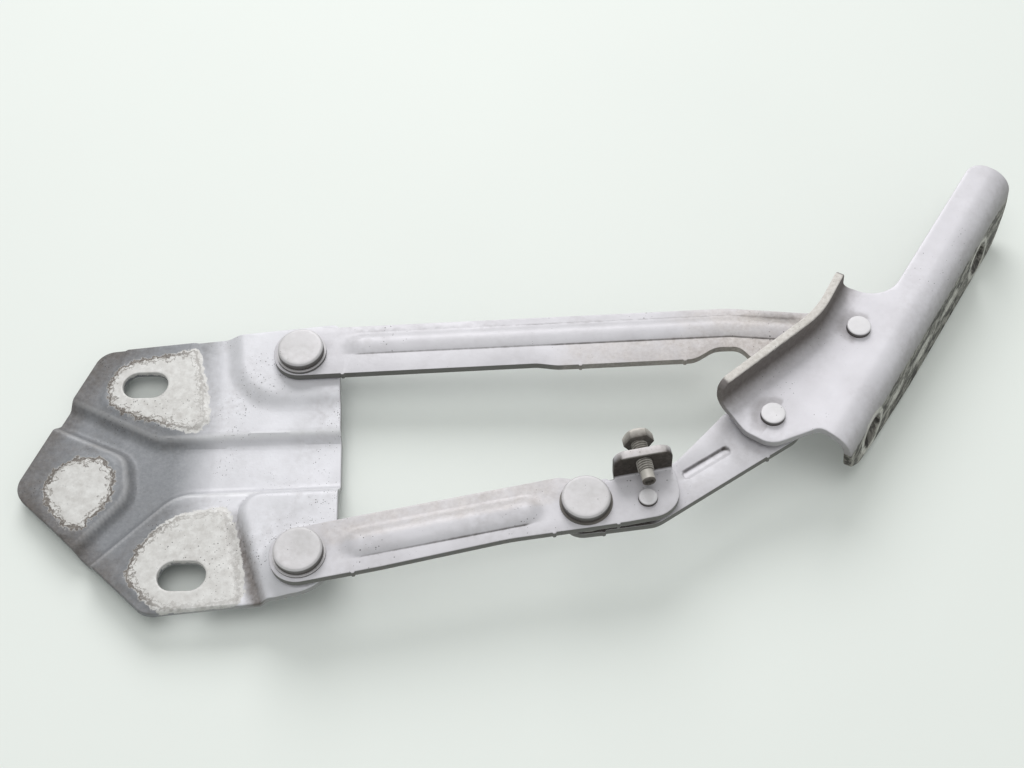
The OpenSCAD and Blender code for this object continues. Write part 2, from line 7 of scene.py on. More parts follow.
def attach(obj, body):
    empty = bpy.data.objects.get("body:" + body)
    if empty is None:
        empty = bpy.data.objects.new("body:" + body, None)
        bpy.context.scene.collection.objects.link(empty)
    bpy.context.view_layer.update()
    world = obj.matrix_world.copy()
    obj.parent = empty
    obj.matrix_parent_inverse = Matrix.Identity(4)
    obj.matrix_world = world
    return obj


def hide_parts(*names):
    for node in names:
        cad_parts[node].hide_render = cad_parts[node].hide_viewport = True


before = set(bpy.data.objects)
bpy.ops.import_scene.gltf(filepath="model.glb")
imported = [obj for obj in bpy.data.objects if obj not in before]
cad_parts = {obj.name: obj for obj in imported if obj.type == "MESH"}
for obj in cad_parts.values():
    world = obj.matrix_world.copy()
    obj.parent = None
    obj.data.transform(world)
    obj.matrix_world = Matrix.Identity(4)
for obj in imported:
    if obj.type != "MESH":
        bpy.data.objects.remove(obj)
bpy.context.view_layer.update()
print("frame loaded", len(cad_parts), "nodes")

# levels and pivots shared by the pieces; lengths are in mm until a piece is finished
sheet = 3.2
lowTop = 6.0
lowZ = lowTop - sheet
highZ = 8.0
highTop = highZ + sheet
pivotA = (63.0, 9.0)  # upper link on the body bracket
pivotB = (70.0, -83.0)  # lower link on the body bracket
pivotM = (173.5, -64.0)  # knee between lower link and relay link
pivotC = (281.5, 11.0)  # upper link under the bonnet bracket
pivotD = (244.5, -28.5)  # relay link under the bonnet bracket


def bearing(start, end):
    return math.degrees(math.atan2(end[1] - start[1], end[0] - start[0]))


upperAngle = bearing(pivotA, pivotC)
lowerAngle = bearing(pivotB, pivotM)
relayAngle = bearing(pivotM, pivotD)
bracketAngle = -32.5

# modelling helpers
farAway = 1e9
tiny = 1e-9
farOutside = -9.0  # places farther out than this count the same
sharpRadius = 0.05  # a corner with less than this stays sharp
outlineStep = 0.9
maskStep = 2.0  # coarse outlines do where only a distance is read
rimStep = 1.5
holeSides = 56
cutDepth = 80
edgeAngle = math.radians(50)
offGrid = 0.0137  # keeps a row of cuts clear of the corners already there
weldGap = 0.002
burr = {"foot": 0.8, "top": 0.4, "rise": 0.5, "round": 0.2}
crispPower, softPower = 2.3, 1.7  # sections of a bead at its two feet
footCuts = [-0.5, -0.2, 0.0, 0.2, 0.5]  # rows at a bead's crisp foot
beadFrom, beadPast, beadRows = 0.95, 0.3, 13  # rows over the rest of it


def roundOutline(corners, step=outlineStep):
    # corners are (x, y, radius)
    outline = []
    count = len(corners)
    for i in range(count):
        corner = Vector(corners[i][:2])
        radius = corners[i][2]
        if radius < sharpRadius:
            outline.append(corner)
            continue
        back = (Vector(corners[i - 1][:2]) - corner).normalized()
        ahead = (Vector(corners[(i + 1) % count][:2]) - corner).normalized()
        half = math.acos(max(-1, min(1, back.dot(ahead)))) / 2
        reach = radius / math.tan(half)
        middle = corner + (back + ahead).normalized() * radius / math.sin(half)
        first = corner + back * reach - middle
        last = corner + ahead * reach - middle
        start = math.atan2(first.y, first.x)
        sweep = math.atan2(last.y, last.x) - start
        sweep = (sweep + math.pi) % (2 * math.pi) - math.pi
        pieces = max(2, int(abs(sweep) * radius / step))
        for k in range(pieces + 1):
            angle = start + sweep * k / pieces
            outline.append(middle + Vector((math.cos(angle), math.sin(angle))) * radius)
    return [(p.x, p.y) for p in outline]


def signedDist(x, y, outline):
    # distance from an outline, positive inside it
    best = np.full(x.shape, farAway)
    inside = np.zeros(x.shape, bool)
    for (ax, ay), (bx, by) in zip(outline, outline[1:] + outline[:1]):
        dx, dy = bx - ax, by - ay
        t = np.clip(((x - ax) * dx + (y - ay) * dy) / max(dx * dx + dy * dy, tiny), 0, 1)
        best = np.minimum(best, np.hypot(x - ax - t * dx, y - ay - t * dy))
        if ay != by:
            inside ^= ((ay > y) != (by > y)) & (x < dx * (y - ay) / dy + ax)
    return np.where(inside, best, -best)


def insideAny(x, y, outlines):
    # distance inside the nearest of some outlines, negative outside them
    depth = np.full(x.shape, farOutside)
    for outline in outlines:
        depth = np.maximum(depth, signedDist(x, y, roundOutline(outline, maskStep)))
    return depth


def lineDist(x, y, line):
    # distance from an open line, positive on its left, and the nearest point on it
    best = np.full(x.shape, farAway)
    footX, footY = x.copy(), y.copy()
    side = np.ones(x.shape)
    last = len(line) - 2
    for i, ((ax, ay), (bx, by)) in enumerate(zip(line, line[1:])):
        dx, dy = bx - ax, by - ay
        t = ((x - ax) * dx + (y - ay) * dy) / (dx * dx + dy * dy)
        t = np.clip(t, -farAway if i == 0 else 0, farAway if i == last else 1)  # both ends run on
        qx, qy = ax + t * dx, ay + t * dy
        away = np.hypot(x - qx, y - qy)
        near = away < best
        best = np.where(near, away, best)
        footX, footY = np.where(near, qx, footX), np.where(near, qy, footY)
        side = np.where(near, np.sign(dx * (y - ay) - dy * (x - ax)), side)
    return best * side, footX, footY


def ramp(value, run):
    t = np.clip(value / run, 0, 1)
    return t * t * (3 - 2 * t)


def rise(value, span):
    # from 0 to 1 upwards of a start, over a run
    return ramp(value - span[0], span[1])


def fall(value, span):
    # from 0 to 1 downwards of a start, over a run
    return ramp(span[0] - value, span[1])


def bell(value, width):
    return np.exp(-(value / width) ** 2)


def clearSelection():
    if bpy.context.object and bpy.context.object.mode != "OBJECT":
        bpy.ops.object.mode_set(mode="OBJECT")
    bpy.ops.object.select_all(action="DESELECT")


def selectOnly(obj):
    clearSelection()
    bpy.context.view_layer.objects.active = obj
    obj.select_set(True)


def blank(name, outline, z, thick):
    # flat sheet of a given outline
    clearSelection()
    bpy.ops.mesh.primitive_circle_add(vertices=len(outline), radius=1, fill_type="NGON")
    obj = bpy.context.object
    obj.name = name
    for v, p in zip(obj.data.vertices, outline):
        v.co = (p[0], p[1], z)
    bpy.ops.object.mode_set(mode="EDIT")
    bpy.ops.mesh.select_all(action="SELECT")
    bpy.ops.mesh.extrude_region_move(TRANSFORM_OT_translate={"value": (0, 0, thick)})
    bpy.ops.mesh.select_all(action="SELECT")
    bpy.ops.mesh.normals_make_consistent(inside=False)
    bpy.ops.object.mode_set(mode="OBJECT")
    return obj


def cutter(corners, step=outlineStep):
    return blank("cutter", roundOutline(corners, step), -cutDepth / 4, cutDepth / 2)


def applyModifier(obj, kind, **settings):
    selectOnly(obj)
    mod = obj.modifiers.new(kind.lower(), kind)
    for key, value in settings.items():
        setattr(mod, key, value)
    bpy.ops.object.modifier_apply(modifier=mod.name)


def combine(obj, tool, operation):
    applyModifier(obj, "BOOLEAN", operation=operation, solver="EXACT", object=tool)
    bpy.data.objects.remove(tool)


def roundHole(obj, x, y, radius):
    clearSelection()
    bpy.ops.mesh.primitive_cylinder_add(vertices=holeSides, radius=radius, depth=cutDepth,
                                        location=(x, y, 0))
    combine(obj, bpy.context.object, "DIFFERENCE")


def breakEdges(obj, width, segments=3):
    applyModifier(obj, "BEVEL", width=width, segments=segments, limit_method="ANGLE", angle_limit=edgeAngle)


def gridCut(obj, xs, ys, lean=0.0):
    # cuts across at xs, then along at ys, the second set leaning by an angle
    selectOnly(obj)
    bpy.ops.object.mode_set(mode="EDIT")
    for x in xs:
        bpy.ops.mesh.select_all(action="SELECT")
        bpy.ops.mesh.bisect(plane_co=(x, 0, 0), plane_no=(1, 0, 0))
    for y in ys:
        bpy.ops.mesh.select_all(action="SELECT")
        bpy.ops.mesh.bisect(plane_co=(0, y, 0), plane_no=(-math.sin(lean), math.cos(lean), 0))
    bpy.ops.object.mode_set(mode="OBJECT")


def spaced(start, end, step):
    return list(np.linspace(start, end, max(2, int(round((end - start) / step)) + 1)) + offGrid)


def leanOf(line):
    # angle of a straight line, and where it meets x = 0
    (ax, ay), (bx, by) = line
    lean = math.atan2(by - ay, bx - ax)
    return lean, ay - ax * math.tan(lean)


def cutFeet(obj, line, half):
    # cuts along a straight bead, close together at its crisp foot
    lean, middle = leanOf(line)
    foot = middle - half / math.cos(lean)
    offsets = footCuts + list(np.linspace(beadFrom, 2 * half + beadPast, beadRows))
    gridCut(obj, [], [foot + k for k in offsets], lean)


def pressed(side, ends, half):
    # half-round section of a bead: a crisp foot on its right side, a soft one on its left
    reach = np.hypot(side, ends)
    t = np.clip(reach / half, 0, 1)
    share = 0.5 - 0.5 * side / np.maximum(reach, tiny)
    return share * (1 - t ** crispPower) + (1 - share) * (1 - t * t) ** softPower


def beadPlace(points, line):
    # place beside a bead's middle line, and past its ends
    x = points[:, 0]
    side = lineDist(x, points[:, 1], line)[0]
    return side, np.maximum(np.maximum(line[0][0] - x, x - line[-1][0]), 0)


def nub(x, y):
    # small burr left on a cut edge
    out = y - burr["rise"]
    spots = ((-burr["foot"], y), (-burr["top"], out), (burr["top"], out), (burr["foot"], y))
    return [(x + along, height, burr["round"]) for along, height in spots]


def readPoints(obj):
    flat = np.zeros(len(obj.data.vertices) * 3)
    obj.data.vertices.foreach_get("co", flat)
    return flat.reshape(-1, 3)


def writePoints(obj, points):
    obj.data.vertices.foreach_set("co", points.ravel())
    obj.data.update()


def fold(points, line, inner, angle, up, where):
    # bends an upper sheet on the left of a line, up or down
    away, footX, footY = lineDist(points[:, 0], points[:, 1], line)
    use = where & (away > 0)
    dirX = (points[:, 0] - footX) / np.maximum(np.abs(away), tiny)
    dirY = (points[:, 1] - footY) / np.maximum(np.abs(away), tiny)
    neutral = inner + sheet / 2
    bend = np.minimum(away / neutral, angle)
    rest = np.maximum(away - angle * neutral, 0)
    sign = -1 if up else 1
    centre = highTop + inner if up else highZ - inner
    radius = sign * (points[:, 2] - centre)
    out = radius * np.sin(bend) + rest * np.cos(bend)
    height = centre + sign * (radius * np.cos(bend) - rest * np.sin(bend))
    points[:, 0] = np.where(use, footX + dirX * out, points[:, 0])
    points[:, 1] = np.where(use, footY + dirY * out, points[:, 1])
    points[:, 2] = np.where(use, height, points[:, 2])
    return points


def setMask(obj, name, values):
    mask = obj.data.attributes.new(name, "FLOAT", "POINT")
    mask.data.foreach_set("value", np.asarray(np.clip(values, 0, 1), np.float32))


def lathe(name, profile, steps):
    # draws a half section of (radius, height) by extruding a point, then spins it about the z axis
    clearSelection()
    bpy.ops.mesh.primitive_plane_add(size=1)
    obj = bpy.context.object
    obj.name = name
    bpy.ops.object.mode_set(mode="EDIT")
    bpy.ops.mesh.select_all(action="SELECT")
    bpy.ops.mesh.merge(type="CENTER")
    bpy.ops.transform.translate(value=(profile[0][0], 0, profile[0][1]))
    for (r0, z0), (r1, z1) in zip(profile, profile[1:]):
        bpy.ops.mesh.extrude_region_move(TRANSFORM_OT_translate={"value": (r1 - r0, 0, z1 - z0)})
    bpy.ops.mesh.select_all(action="SELECT")
    bpy.ops.mesh.spin(steps=steps, angle=2 * math.pi, center=(0, 0, 0), axis=(0, 0, 1))
    bpy.ops.mesh.select_all(action="SELECT")
    bpy.ops.mesh.remove_doubles(threshold=weldGap)
    bpy.ops.mesh.normals_make_consistent(inside=False)
    bpy.ops.object.mode_set(mode="OBJECT")
    return obj


def arcProfile(cx, cz, radius, start, end, pieces=6):
    angles = [math.radians(start + (end - start) * k / pieces) for k in range(pieces + 1)]
    return [(cx + radius * math.cos(a), cz + radius * math.sin(a)) for a in angles]


def dropped(points, level):
    # (radius, depth) points as heights under a level
    return [(r, level - depth) for r, depth in points]


def placed(at, angle=0.0):
    return Matrix.Translation((*at, 0)) @ Matrix.Rotation(math.radians(angle), 4, "Z")


def finishPiece(obj, move, body, node, material, angle):
    selectOnly(obj)
    bpy.ops.object.shade_smooth_by_angle(angle=math.radians(angle))
    obj.data.transform(Matrix.Scale(0.001, 4) @ move @ obj.matrix_world)
    obj.matrix_world = Matrix.Identity(4)
    obj.data.materials.clear()
    obj.data.materials.append(material)
    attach(obj, body)
    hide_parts(node)
    print("made", obj.name, len(obj.data.polygons), "faces")


# material helpers: a value given to a socket is a link, a colour or a number


def newMaterial(name):
    mat = bpy.data.materials.new(name)
    mat.use_nodes = True
    return mat, mat.node_tree, mat.node_tree.nodes["Principled BSDF"]


def put(tree, kind, x, y, **settings):
    node = tree.nodes.new(kind)
    node.location = (x, y)
    for key, value in settings.items():
        setattr(node, key, value)
    return node


def feed(tree, socket, value):
    if isinstance(value, bpy.types.NodeSocket):
        tree.links.new(value, socket)
    elif isinstance(value, tuple):
        socket.default_value = (*value, 1)
    else:
        socket.default_value = value


def mixColour(tree, x, y, share, first, second):
    node = put(tree, "ShaderNodeMix", x, y, data_type="RGBA")
    for index, value in ((0, share), (6, first), (7, second)):
        feed(tree, node.inputs[index], value)
    return node.outputs[2]


def mathNode(tree, operation, x, y, *values):
    node = put(tree, "ShaderNodeMath", x, y, operation=operation)
    for socket, value in zip(node.inputs, values):
        feed(tree, socket, value)
    return node.outputs[0]


def mapRange(tree, x, y, value, low, high, toLow=0.0, toHigh=1.0):
    node = put(tree, "ShaderNodeMapRange", x, y, clamp=True)
    for socket, given in zip(node.inputs, (value, low, high, toLow, toHigh)):
        feed(tree, socket, given)
    return node.outputs[0]


def noise(tree, x, y, vector, scale, detail=3.0, rough=0.55):
    node = put(tree, "ShaderNodeTexNoise", x, y)
    for label, value in (("Vector", vector), ("Scale", scale), ("Detail", detail), ("Roughness", rough)):
        feed(tree, node.inputs[label], value)
    return node.outputs[0]


def newGroup(name, values):
    # makes a mask from a vector and some named values
    tree = bpy.data.node_groups.new(name, "ShaderNodeTree")
    tree.interface.new_socket("Vector", in_out="INPUT", socket_type="NodeSocketVector")
    for label, value in values.items():
        socket = tree.interface.new_socket(label, in_out="INPUT", socket_type="NodeSocketFloat")
        socket.default_value = value
    tree.interface.new_socket("Mask", in_out="OUTPUT", socket_type="NodeSocketFloat")
    return tree, put(tree, "NodeGroupInput", -900, 0), put(tree, "NodeGroupOutput", 700, 0)


def useGroup(tree, group, x, y, vector, values):
    node = put(tree, "ShaderNodeGroup", x, y, node_tree=group)
    feed(tree, node.inputs["Vector"], vector)
    for label, value in values.items():
        feed(tree, node.inputs[label], value)
    return node.outputs["Mask"]


# noises are (scale, detail, roughness), ranges are the part of a noise that shows
grimeLook = {"wide": (38.0, 4.0, 0.6), "wideRange": (0.42, 0.72),
             "fine": (420.0, 3.0, 0.6), "fineRange": (0.35, 0.75)}
speckLook = {"groups": (34.0, 2.0), "groupRange": (0.42, 0.62), "fewPower": 3.0}


def buildGrime():
    # mottled dirt: wide clouds broken by fine grain
    tree, given, result = newGroup("grime", {"Amount": 0.5})
    vector = given.outputs["Vector"]
    wide = noise(tree, -650, 150, vector, *grimeLook["wide"])
    wide = mapRange(tree, -420, 150, wide, *grimeLook["wideRange"])
    fine = noise(tree, -650, -150, vector, *grimeLook["fine"])
    fine = mapRange(tree, -420, -150, fine, *grimeLook["fineRange"])
    broken = mathNode(tree, "MULTIPLY", -180, 0, wide, fine)
    feed(tree, result.inputs["Mask"], mathNode(tree, "MULTIPLY", 60, 0, broken, given.outputs["Amount"]))
    return tree


def buildSpecks():
    # small dark grains in loose groups, in a few of the cells only
    tree, given, result = newGroup("specks", {"Scale": 260.0, "Size": 0.16})
    vector = given.outputs["Vector"]
    cell = put(tree, "ShaderNodeTexVoronoi", -650, 0, feature="F1")
    feed(tree, cell.inputs["Vector"], vector)
    feed(tree, cell.inputs["Scale"], given.outputs["Scale"])
    group = noise(tree, -650, -300, vector, *speckLook["groups"])
    group = mapRange(tree, -420, -300, group, *speckLook["groupRange"])
    split = put(tree, "ShaderNodeSeparateColor", -420, 120)
    feed(tree, split.inputs[0], cell.outputs["Color"])
    few = mathNode(tree, "POWER", -250, 120, split.outputs[0], speckLook["fewPower"])
    size = mathNode(tree, "MULTIPLY", -250, -120, group, given.outputs["Size"])
    grain = mathNode(tree, "MULTIPLY", -80, -60, size, few)
    feed(tree, result.inputs["Mask"], mathNode(tree, "LESS_THAN", 100, 0, cell.outputs["Distance"], grain))
    return tree


grimeGroup = buildGrime()
specksGroup = buildSpecks()

# what all coats share
coat = {
    "cloud": (60.0, 4.0), "cloudRange": (0.35, 0.7),
    "edgeFull": 0.12, "edgeFrom": 0.45, "edgeAndShadeColour": (0.12, 0.12, 0.105),
    "rough": 0.48, "metal": 0.2, "specular": 0.35,
    "dirt": (0.16, 0.13, 0.10), "dirtFull": 0.6, "dirtyRough": 0.75,
    "speck": (0.03, 0.028, 0.026), "speckStrength": 0.7, "speckScale": 300.0, "speckSize": 0.14,
    "peelScale": 700.0, "peelStrength": 0.12, "peelDepth": 0.0004,
    "raggedScale": 420.0, "raggedNoise": (5.0, 0.65), "raggedRange": (0.3, 0.7), "limitRange": (0.02, 0.25),
    "grain": 650.0, "grainNoise": (5.0, 0.7), "share": (0.38, 0.66), "streak": (1, 0.12, 1),
}


def darkEdgesAndShade(tree, normal, colour, look):
    # darker where the surface stands upright: dark cut edges, and painted shade on walls turned from the
    # light
    split = put(tree, "ShaderNodeSeparateXYZ", -1450, 800)
    feed(tree, split.inputs[0], normal)
    flat = mathNode(tree, "ABSOLUTE", -1300, 800, split.outputs["Z"])
    upright = mapRange(tree, -1150, 800, flat, look["edgeFull"], look["edgeFrom"], look["edge"], 0.0)
    return mixColour(tree, -950, 500, upright, colour, look["edgeAndShadeColour"])


def markShare(tree, vector, mark, x):
    # how far a mark covers: its mask made ragged, or a line along one level of the mask
    mask = put(tree, "ShaderNodeAttribute", x - 200, -250, attribute_name=mark["key"]).outputs["Fac"]
    scale = mark.get("scale", coat["raggedScale"])
    torn = noise(tree, x - 200, -450, vector, scale, *coat["raggedNoise"])
    shift = mapRange(tree, x - 20, -480, torn, *coat["raggedRange"], -mark["ragged"], mark["ragged"])
    level = mathNode(tree, "ADD", x - 20, -300, mask, shift)
    if "band" in mark:
        away = mathNode(tree, "SUBTRACT", x + 40, -300, level, mark["centre"])
        near = mathNode(tree, "ABSOLUTE", x + 90, -300, away)
        cover = mapRange(tree, x + 130, -300, near, mark["band"] / 2, mark["band"], mark["strength"], 0.0)
        limit = put(tree, "ShaderNodeAttribute", x - 20, -650, attribute_name=mark["within"]).outputs["Fac"]
    else:
        soft = mark["soft"]
        cover = mapRange(tree, x + 130, -300, level, 0.5 - soft, 0.5 + soft, 0.0, mark["strength"])
        limit = mapRange(tree, x - 20, -650, mask, *coat["limitRange"])
    return mathNode(tree, "MULTIPLY", x + 130, -480, cover, limit)


def markColour(tree, vector, mark, x):
    # two tones parted by a grain, which may run in streaks along a direction
    if "along" in mark:
        turn = put(tree, "ShaderNodeMapping", x - 400, 550)
        turn.inputs["Rotation"].default_value = (0, 0, math.radians(90 - mark["along"]))
        turn.inputs["Scale"].default_value = coat["streak"]
        feed(tree, turn.inputs["Vector"], vector)
        vector = turn.outputs[0]
    grain = noise(tree, x - 200, 550, vector, mark.get("grain", coat["grain"]), *coat["grainNoise"])
    part = mapRange(tree, x - 20, 550, grain, *mark.get("share", coat["share"]))
    return mixColour(tree, x + 100, 450, part, mark["colour"], mark.get("other", mark["colour"]))


def paintMaterial(name, paint, shade, given):
    # clouded coat, dark cut edges with painted shade on upright walls, the marks that a piece's masks place
    # (some of them painted shade or painted highlight), dirt and specks
    look = {**coat, **given}
    mat, tree, bsdf = newMaterial(name)
    coord = put(tree, "ShaderNodeTexCoord", -1700, 0)
    vector = coord.outputs["Object"]
    cloud = noise(tree, -1450, 350, vector, *look["cloud"])
    cloud = mapRange(tree, -1300, 350, cloud, *look["cloudRange"])
    colour = mixColour(tree, -1150, 350, cloud, paint, shade)
    colour = darkEdgesAndShade(tree, coord.outputs["Normal"], colour, look)
    matt = 0.0
    x = -550
    for mark in look.get("marks", []):
        share = markShare(tree, vector, mark, x)
        colour = mixColour(tree, x + 260, 200, share, colour, markColour(tree, vector, mark, x))
        if "matt" in mark:
            matt = mathNode(tree, "MULTIPLY_ADD", x + 260, -480, share, mark["matt"], matt)
        x += 460
    grime = useGroup(tree, grimeGroup, x, -100, vector, {"Amount": look["grime"]})
    colour = mixColour(tree, x + 200, 200, grime, colour, look["dirt"])
    specks = useGroup(tree, specksGroup, x + 200, -300, vector,
                      {"Scale": look["speckScale"], "Size": look["speckSize"]})
    dots = mathNode(tree, "MULTIPLY", x + 400, -300, specks, look["speckStrength"])
    feed(tree, bsdf.inputs["Base Color"], mixColour(tree, x + 420, 200, dots, colour, look["speck"]))
    rough = mapRange(tree, x + 640, -150, grime, 0.0, look["dirtFull"], look["rough"], look["dirtyRough"])
    rough = mathNode(tree, "ADD", x + 820, -150, rough, matt)
    rough.node.use_clamp = True
    feed(tree, bsdf.inputs["Roughness"], rough)
    bsdf.inputs["Metallic"].default_value = look["metal"]
    bsdf.inputs["Specular IOR Level"].default_value = look["specular"]
    bump = put(tree, "ShaderNodeBump", x + 640, -800)
    bump.inputs["Strength"].default_value = look["peelStrength"]
    bump.inputs["Distance"].default_value = look["peelDepth"]
    feed(tree, bump.inputs["Height"], noise(tree, x + 300, -800, vector, look["peelScale"]))
    feed(tree, bsdf.inputs["Normal"], bump.outputs[0])
    bsdf.location = (x + 1000, 200)
    tree.nodes["Material Output"].location = (x + 1300, 200)
    return mat


# finishes
# painted shade for the upright walls of the rivet heads
headWallShade = (0.07, 0.065, 0.06)
flangeRun = 57.5  # direction of the bonnet flange, in degrees
# dirt, and painted shade in creases, under heads and parts, and on faces turned from the light
soilAndShadeMark = {"key": "soilAndShade", "colour": (0.042, 0.034, 0.030), "other": (0.085, 0.072, 0.064),
            "strength": 0.95, "ragged": 0.14, "soft": 0.5, "matt": 0.4}
linkPaint = paintMaterial("linkPaint", (0.60, 0.585, 0.62), (0.52, 0.505, 0.535), {
    "grime": 0.24, "speckScale": 900.0, "speckSize": 0.3, "edge": 0.88, "edgeAndShadeColour": (0.085, 0.085, 0.072),
    "marks": [{"key": "rust", "colour": (0.56, 0.515, 0.485), "other": (0.37, 0.315, 0.28),
               "strength": 0.7, "ragged": 0.3, "soft": 0.6, "scale": 160.0},
              soilAndShadeMark]})
basePaint = paintMaterial("basePaint", (0.67, 0.662, 0.702), (0.595, 0.588, 0.622), {
    "grime": 0.25, "speckScale": 1400.0, "speckSize": 0.4, "edge": 0.6,
    "marks": [{"key": "primer", "colour": (0.18, 0.186, 0.202), "other": (0.225, 0.231, 0.247),
               "strength": 0.95, "ragged": 0.08, "soft": 0.5, "scale": 90.0},
              # painted highlight along the crests of the pressed steps
              {"key": "crestHighlight", "colour": (0.80, 0.795, 0.82), "strength": 0.7, "ragged": 0.06, "soft": 0.5},
              dict(soilAndShadeMark, colour=(0.085, 0.068, 0.057), other=(0.15, 0.126, 0.11), strength=0.85),
              {"key": "bare", "colour": (0.67, 0.66, 0.65), "other": (0.45, 0.43, 0.415),
               "strength": 0.96, "ragged": 0.5, "soft": 0.12, "grain": 240.0, "share": (0.36, 0.8)},
              {"key": "peel", "within": "rim", "centre": 0.58, "band": 0.085,
               "colour": (0.07, 0.056, 0.047), "other": (0.18, 0.155, 0.138),
               "strength": 0.9, "ragged": 0.14, "grain": 700.0},
              {"key": "peel", "within": "rim", "centre": 0.72, "band": 0.05,
               "colour": (0.10, 0.084, 0.072), "other": (0.36, 0.335, 0.315),
               "strength": 0.8, "ragged": 0.26, "scale": 300.0, "grain": 600.0}]})
bracketPaint = paintMaterial("bracketPaint", (0.70, 0.68, 0.725), (0.63, 0.61, 0.65), {
    "grime": 0.22, "speckScale": 900.0, "speckSize": 0.2, "edge": 0.5, "edgeFrom": 0.8,
    "marks": [dict(soilAndShadeMark, colour=(0.10, 0.08, 0.07), other=(0.15, 0.127, 0.114), strength=0.85,
                   ragged=0.05),
              {"key": "scrape", "colour": (0.035, 0.032, 0.027), "other": (0.36, 0.35, 0.315),
               "strength": 0.95, "ragged": 0.3, "soft": 0.2, "grain": 330.0, "share": (0.44, 0.62),
               "along": flangeRun},
              {"key": "bare", "colour": (0.68, 0.67, 0.63), "other": (0.36, 0.35, 0.32),
               "strength": 0.9, "ragged": 0.35, "soft": 0.2, "along": flangeRun},
              {"key": "topEdge", "colour": (0.74, 0.71, 0.685), "other": (0.58, 0.545, 0.515),
               "strength": 0.95, "ragged": 0.2, "soft": 0.3}]})
# big rivet heads: their upright walls take painted shade from the dark edge colour
headPaint = paintMaterial("headPaint", (0.61, 0.59, 0.61), (0.53, 0.515, 0.525), {
    "grime": 0.25, "speckScale": 900.0, "speckSize": 0.24, "edge": 0.85, "edgeAndShadeColour": headWallShade,
    "marks": [soilAndShadeMark]})
# small rivet heads: their upright walls take painted shade from the dark edge colour
smallHeadPaint = paintMaterial("smallHeadPaint", (0.74, 0.72, 0.745), (0.66, 0.645, 0.665), {
    "grime": 0.2, "speckScale": 900.0, "speckSize": 0.2, "edge": 0.85, "edgeAndShadeColour": headWallShade,
    "marks": [soilAndShadeMark]})
boltZinc = paintMaterial("boltZinc", (0.58, 0.55, 0.515), (0.42, 0.395, 0.365), {
    "grime": 0.5, "edge": 0.0, "rough": 0.45, "metal": 0.25, "speckScale": 800.0,
    "marks": [dict(soilAndShadeMark, strength=0.9)]})
bushMetal = paintMaterial("bushMetal", (0.42, 0.40, 0.37), (0.32, 0.30, 0.275), {
    "grime": 0.4, "edge": 0.2, "rough": 0.45, "metal": 0.6})
# knee bush painted dark as painted shade in the gap under the knee head
shadeDarkBush = paintMaterial("shadeDarkBush", (0.20, 0.185, 0.172), (0.13, 0.118, 0.108), {
    "grime": 0.5, "edge": 0.3, "rough": 0.6, "metal": 0.1})
print("materials made")

# body bracket: blank, slots, broken edges, then pressed levels; walls and fades are (start, run)
bodyBracket = {
    "outline": [(-20, 16.8, 8.5), (-44.95, -47.5, 9), (12.5, -100, 9), (82.9, -94, 15.3),
                (76.9, 26.2, 3.6)],
    "slots": [(0, 0), (25, -85)], "slotHalf": (9, 6), "slotRound": 5.99, "slotStep": 0.5,
    "edge": 0.45, "cutsX": (-44, 82, 1.15), "cutsY": (-98, 25, 1.15), "smooth": 32,
    "plateau": -0.8, "channel": -4.8, "upperTop": 2.2, "stepTop": 3.2, "coneTop": 6.2, "padRise": 0.8,
    "areas": [
        [(-53, 3, 9), (7.8, -28.2, 18), (137, -25, 9), (137, 60, 9), (-53, 60, 9)],
        [(-65, -0.5, 9), (-65, -60, 9), (-26, -87, 9), (3, -51, 14), (-1, -30.8, 11)],
        [(-27, -93, 9), (0, -160, 9), (137, -160, 9), (137, -44.5, 9), (17, -47.3, 18)]],
    "upperBoss": [(25, 60, 9), (36, -13.8, 24), (137, -9.5, 9), (137, 60, 9)],
    "lowerStep": [(34.5, -47, 13), (59.5, -118, 9), (137, -118, 9), (137, -44.9, 9)],
    "areaWall": (-0.6, 4.9), "bossWall": (-0.8, 7.4), "stepWall": (-0.8, 7.6), "padWall": (-0.4, 1.4),
    "coneWall": (16.4, 6.4),
    "pads": [
        [(-10, 60, 1), (-10.5, 15.5, 6), (-19, -8.5, 7), (13, -23, 9), (29, -19.5, 4), (18, 22, 2),
         (16, 60, 1)],
        [(-24, -31, 7), (-37, -51, 8), (-28, -66.5, 4), (-19, -68.5, 4), (-3, -50, 9), (-6, -31.5, 8)],
        [(0, -86.5, 3), (17, -99.5, 2), (48, -97.5, 2), (38, -55.5, 5), (13, -62, 14)]],
    "worn": [
        [(-15.9, -0.6, 3), (-13.1, 8.1, 3), (-6.1, 12.9, 3), (19.1, 17.0, 2), (23.7, 0.8, 6),
         (27.2, -16.9, 3), (22.8, -22.5, 3), (12.4, -20.3, 5), (-1.9, -16.1, 5), (-13.1, -10, 4)],
        [(-33.8, -47.9, 5), (-30.6, -36.6, 5), (-22, -32.6, 4), (-10.9, -33.1, 4), (-5.5, -41.3, 4),
         (-5.4, -52.2, 5), (-16.1, -66.1, 5), (-22.3, -64.2, 4), (-29.4, -57, 5)],
        [(3, -85.3, 3), (6.2, -73.1, 5), (12.4, -65, 5), (21.4, -59.5, 5), (38.6, -56.8, 3),
         (43.4, -69.2, 5), (47.5, -86.3, 5), (48, -95.6, 2), (39.3, -98, 3), (18.9, -99.3, 3),
         (11.1, -94.2, 4)]],
    "wornOut": 1.4, "wornSoft": 3.4, "wornCrisper": 2.4, "crisperFade": (6, 16),
    "peelIn": 0.3, "peelReach": 10, "peelLeast": 0.25, "peelFade": (30, 26),
    "crestIn": 3.3, "crestWide": 1.0, "crestLeast": 0.45, "crestFade": (10, 20), "primerFade": (12, 26),
    "smearIn": 2.0, "smearWide": 3.0, "smearBelow": (-52, 24), "smearLeft": (64, 8),
    "rimFilm": 0.6, "rimReach": (12, 12), "rimLeft": (14, 30),
    "padFilm": 0.22, "padOut": 3, "padReach": (7, 7), "padLeft": (44, 30),
}


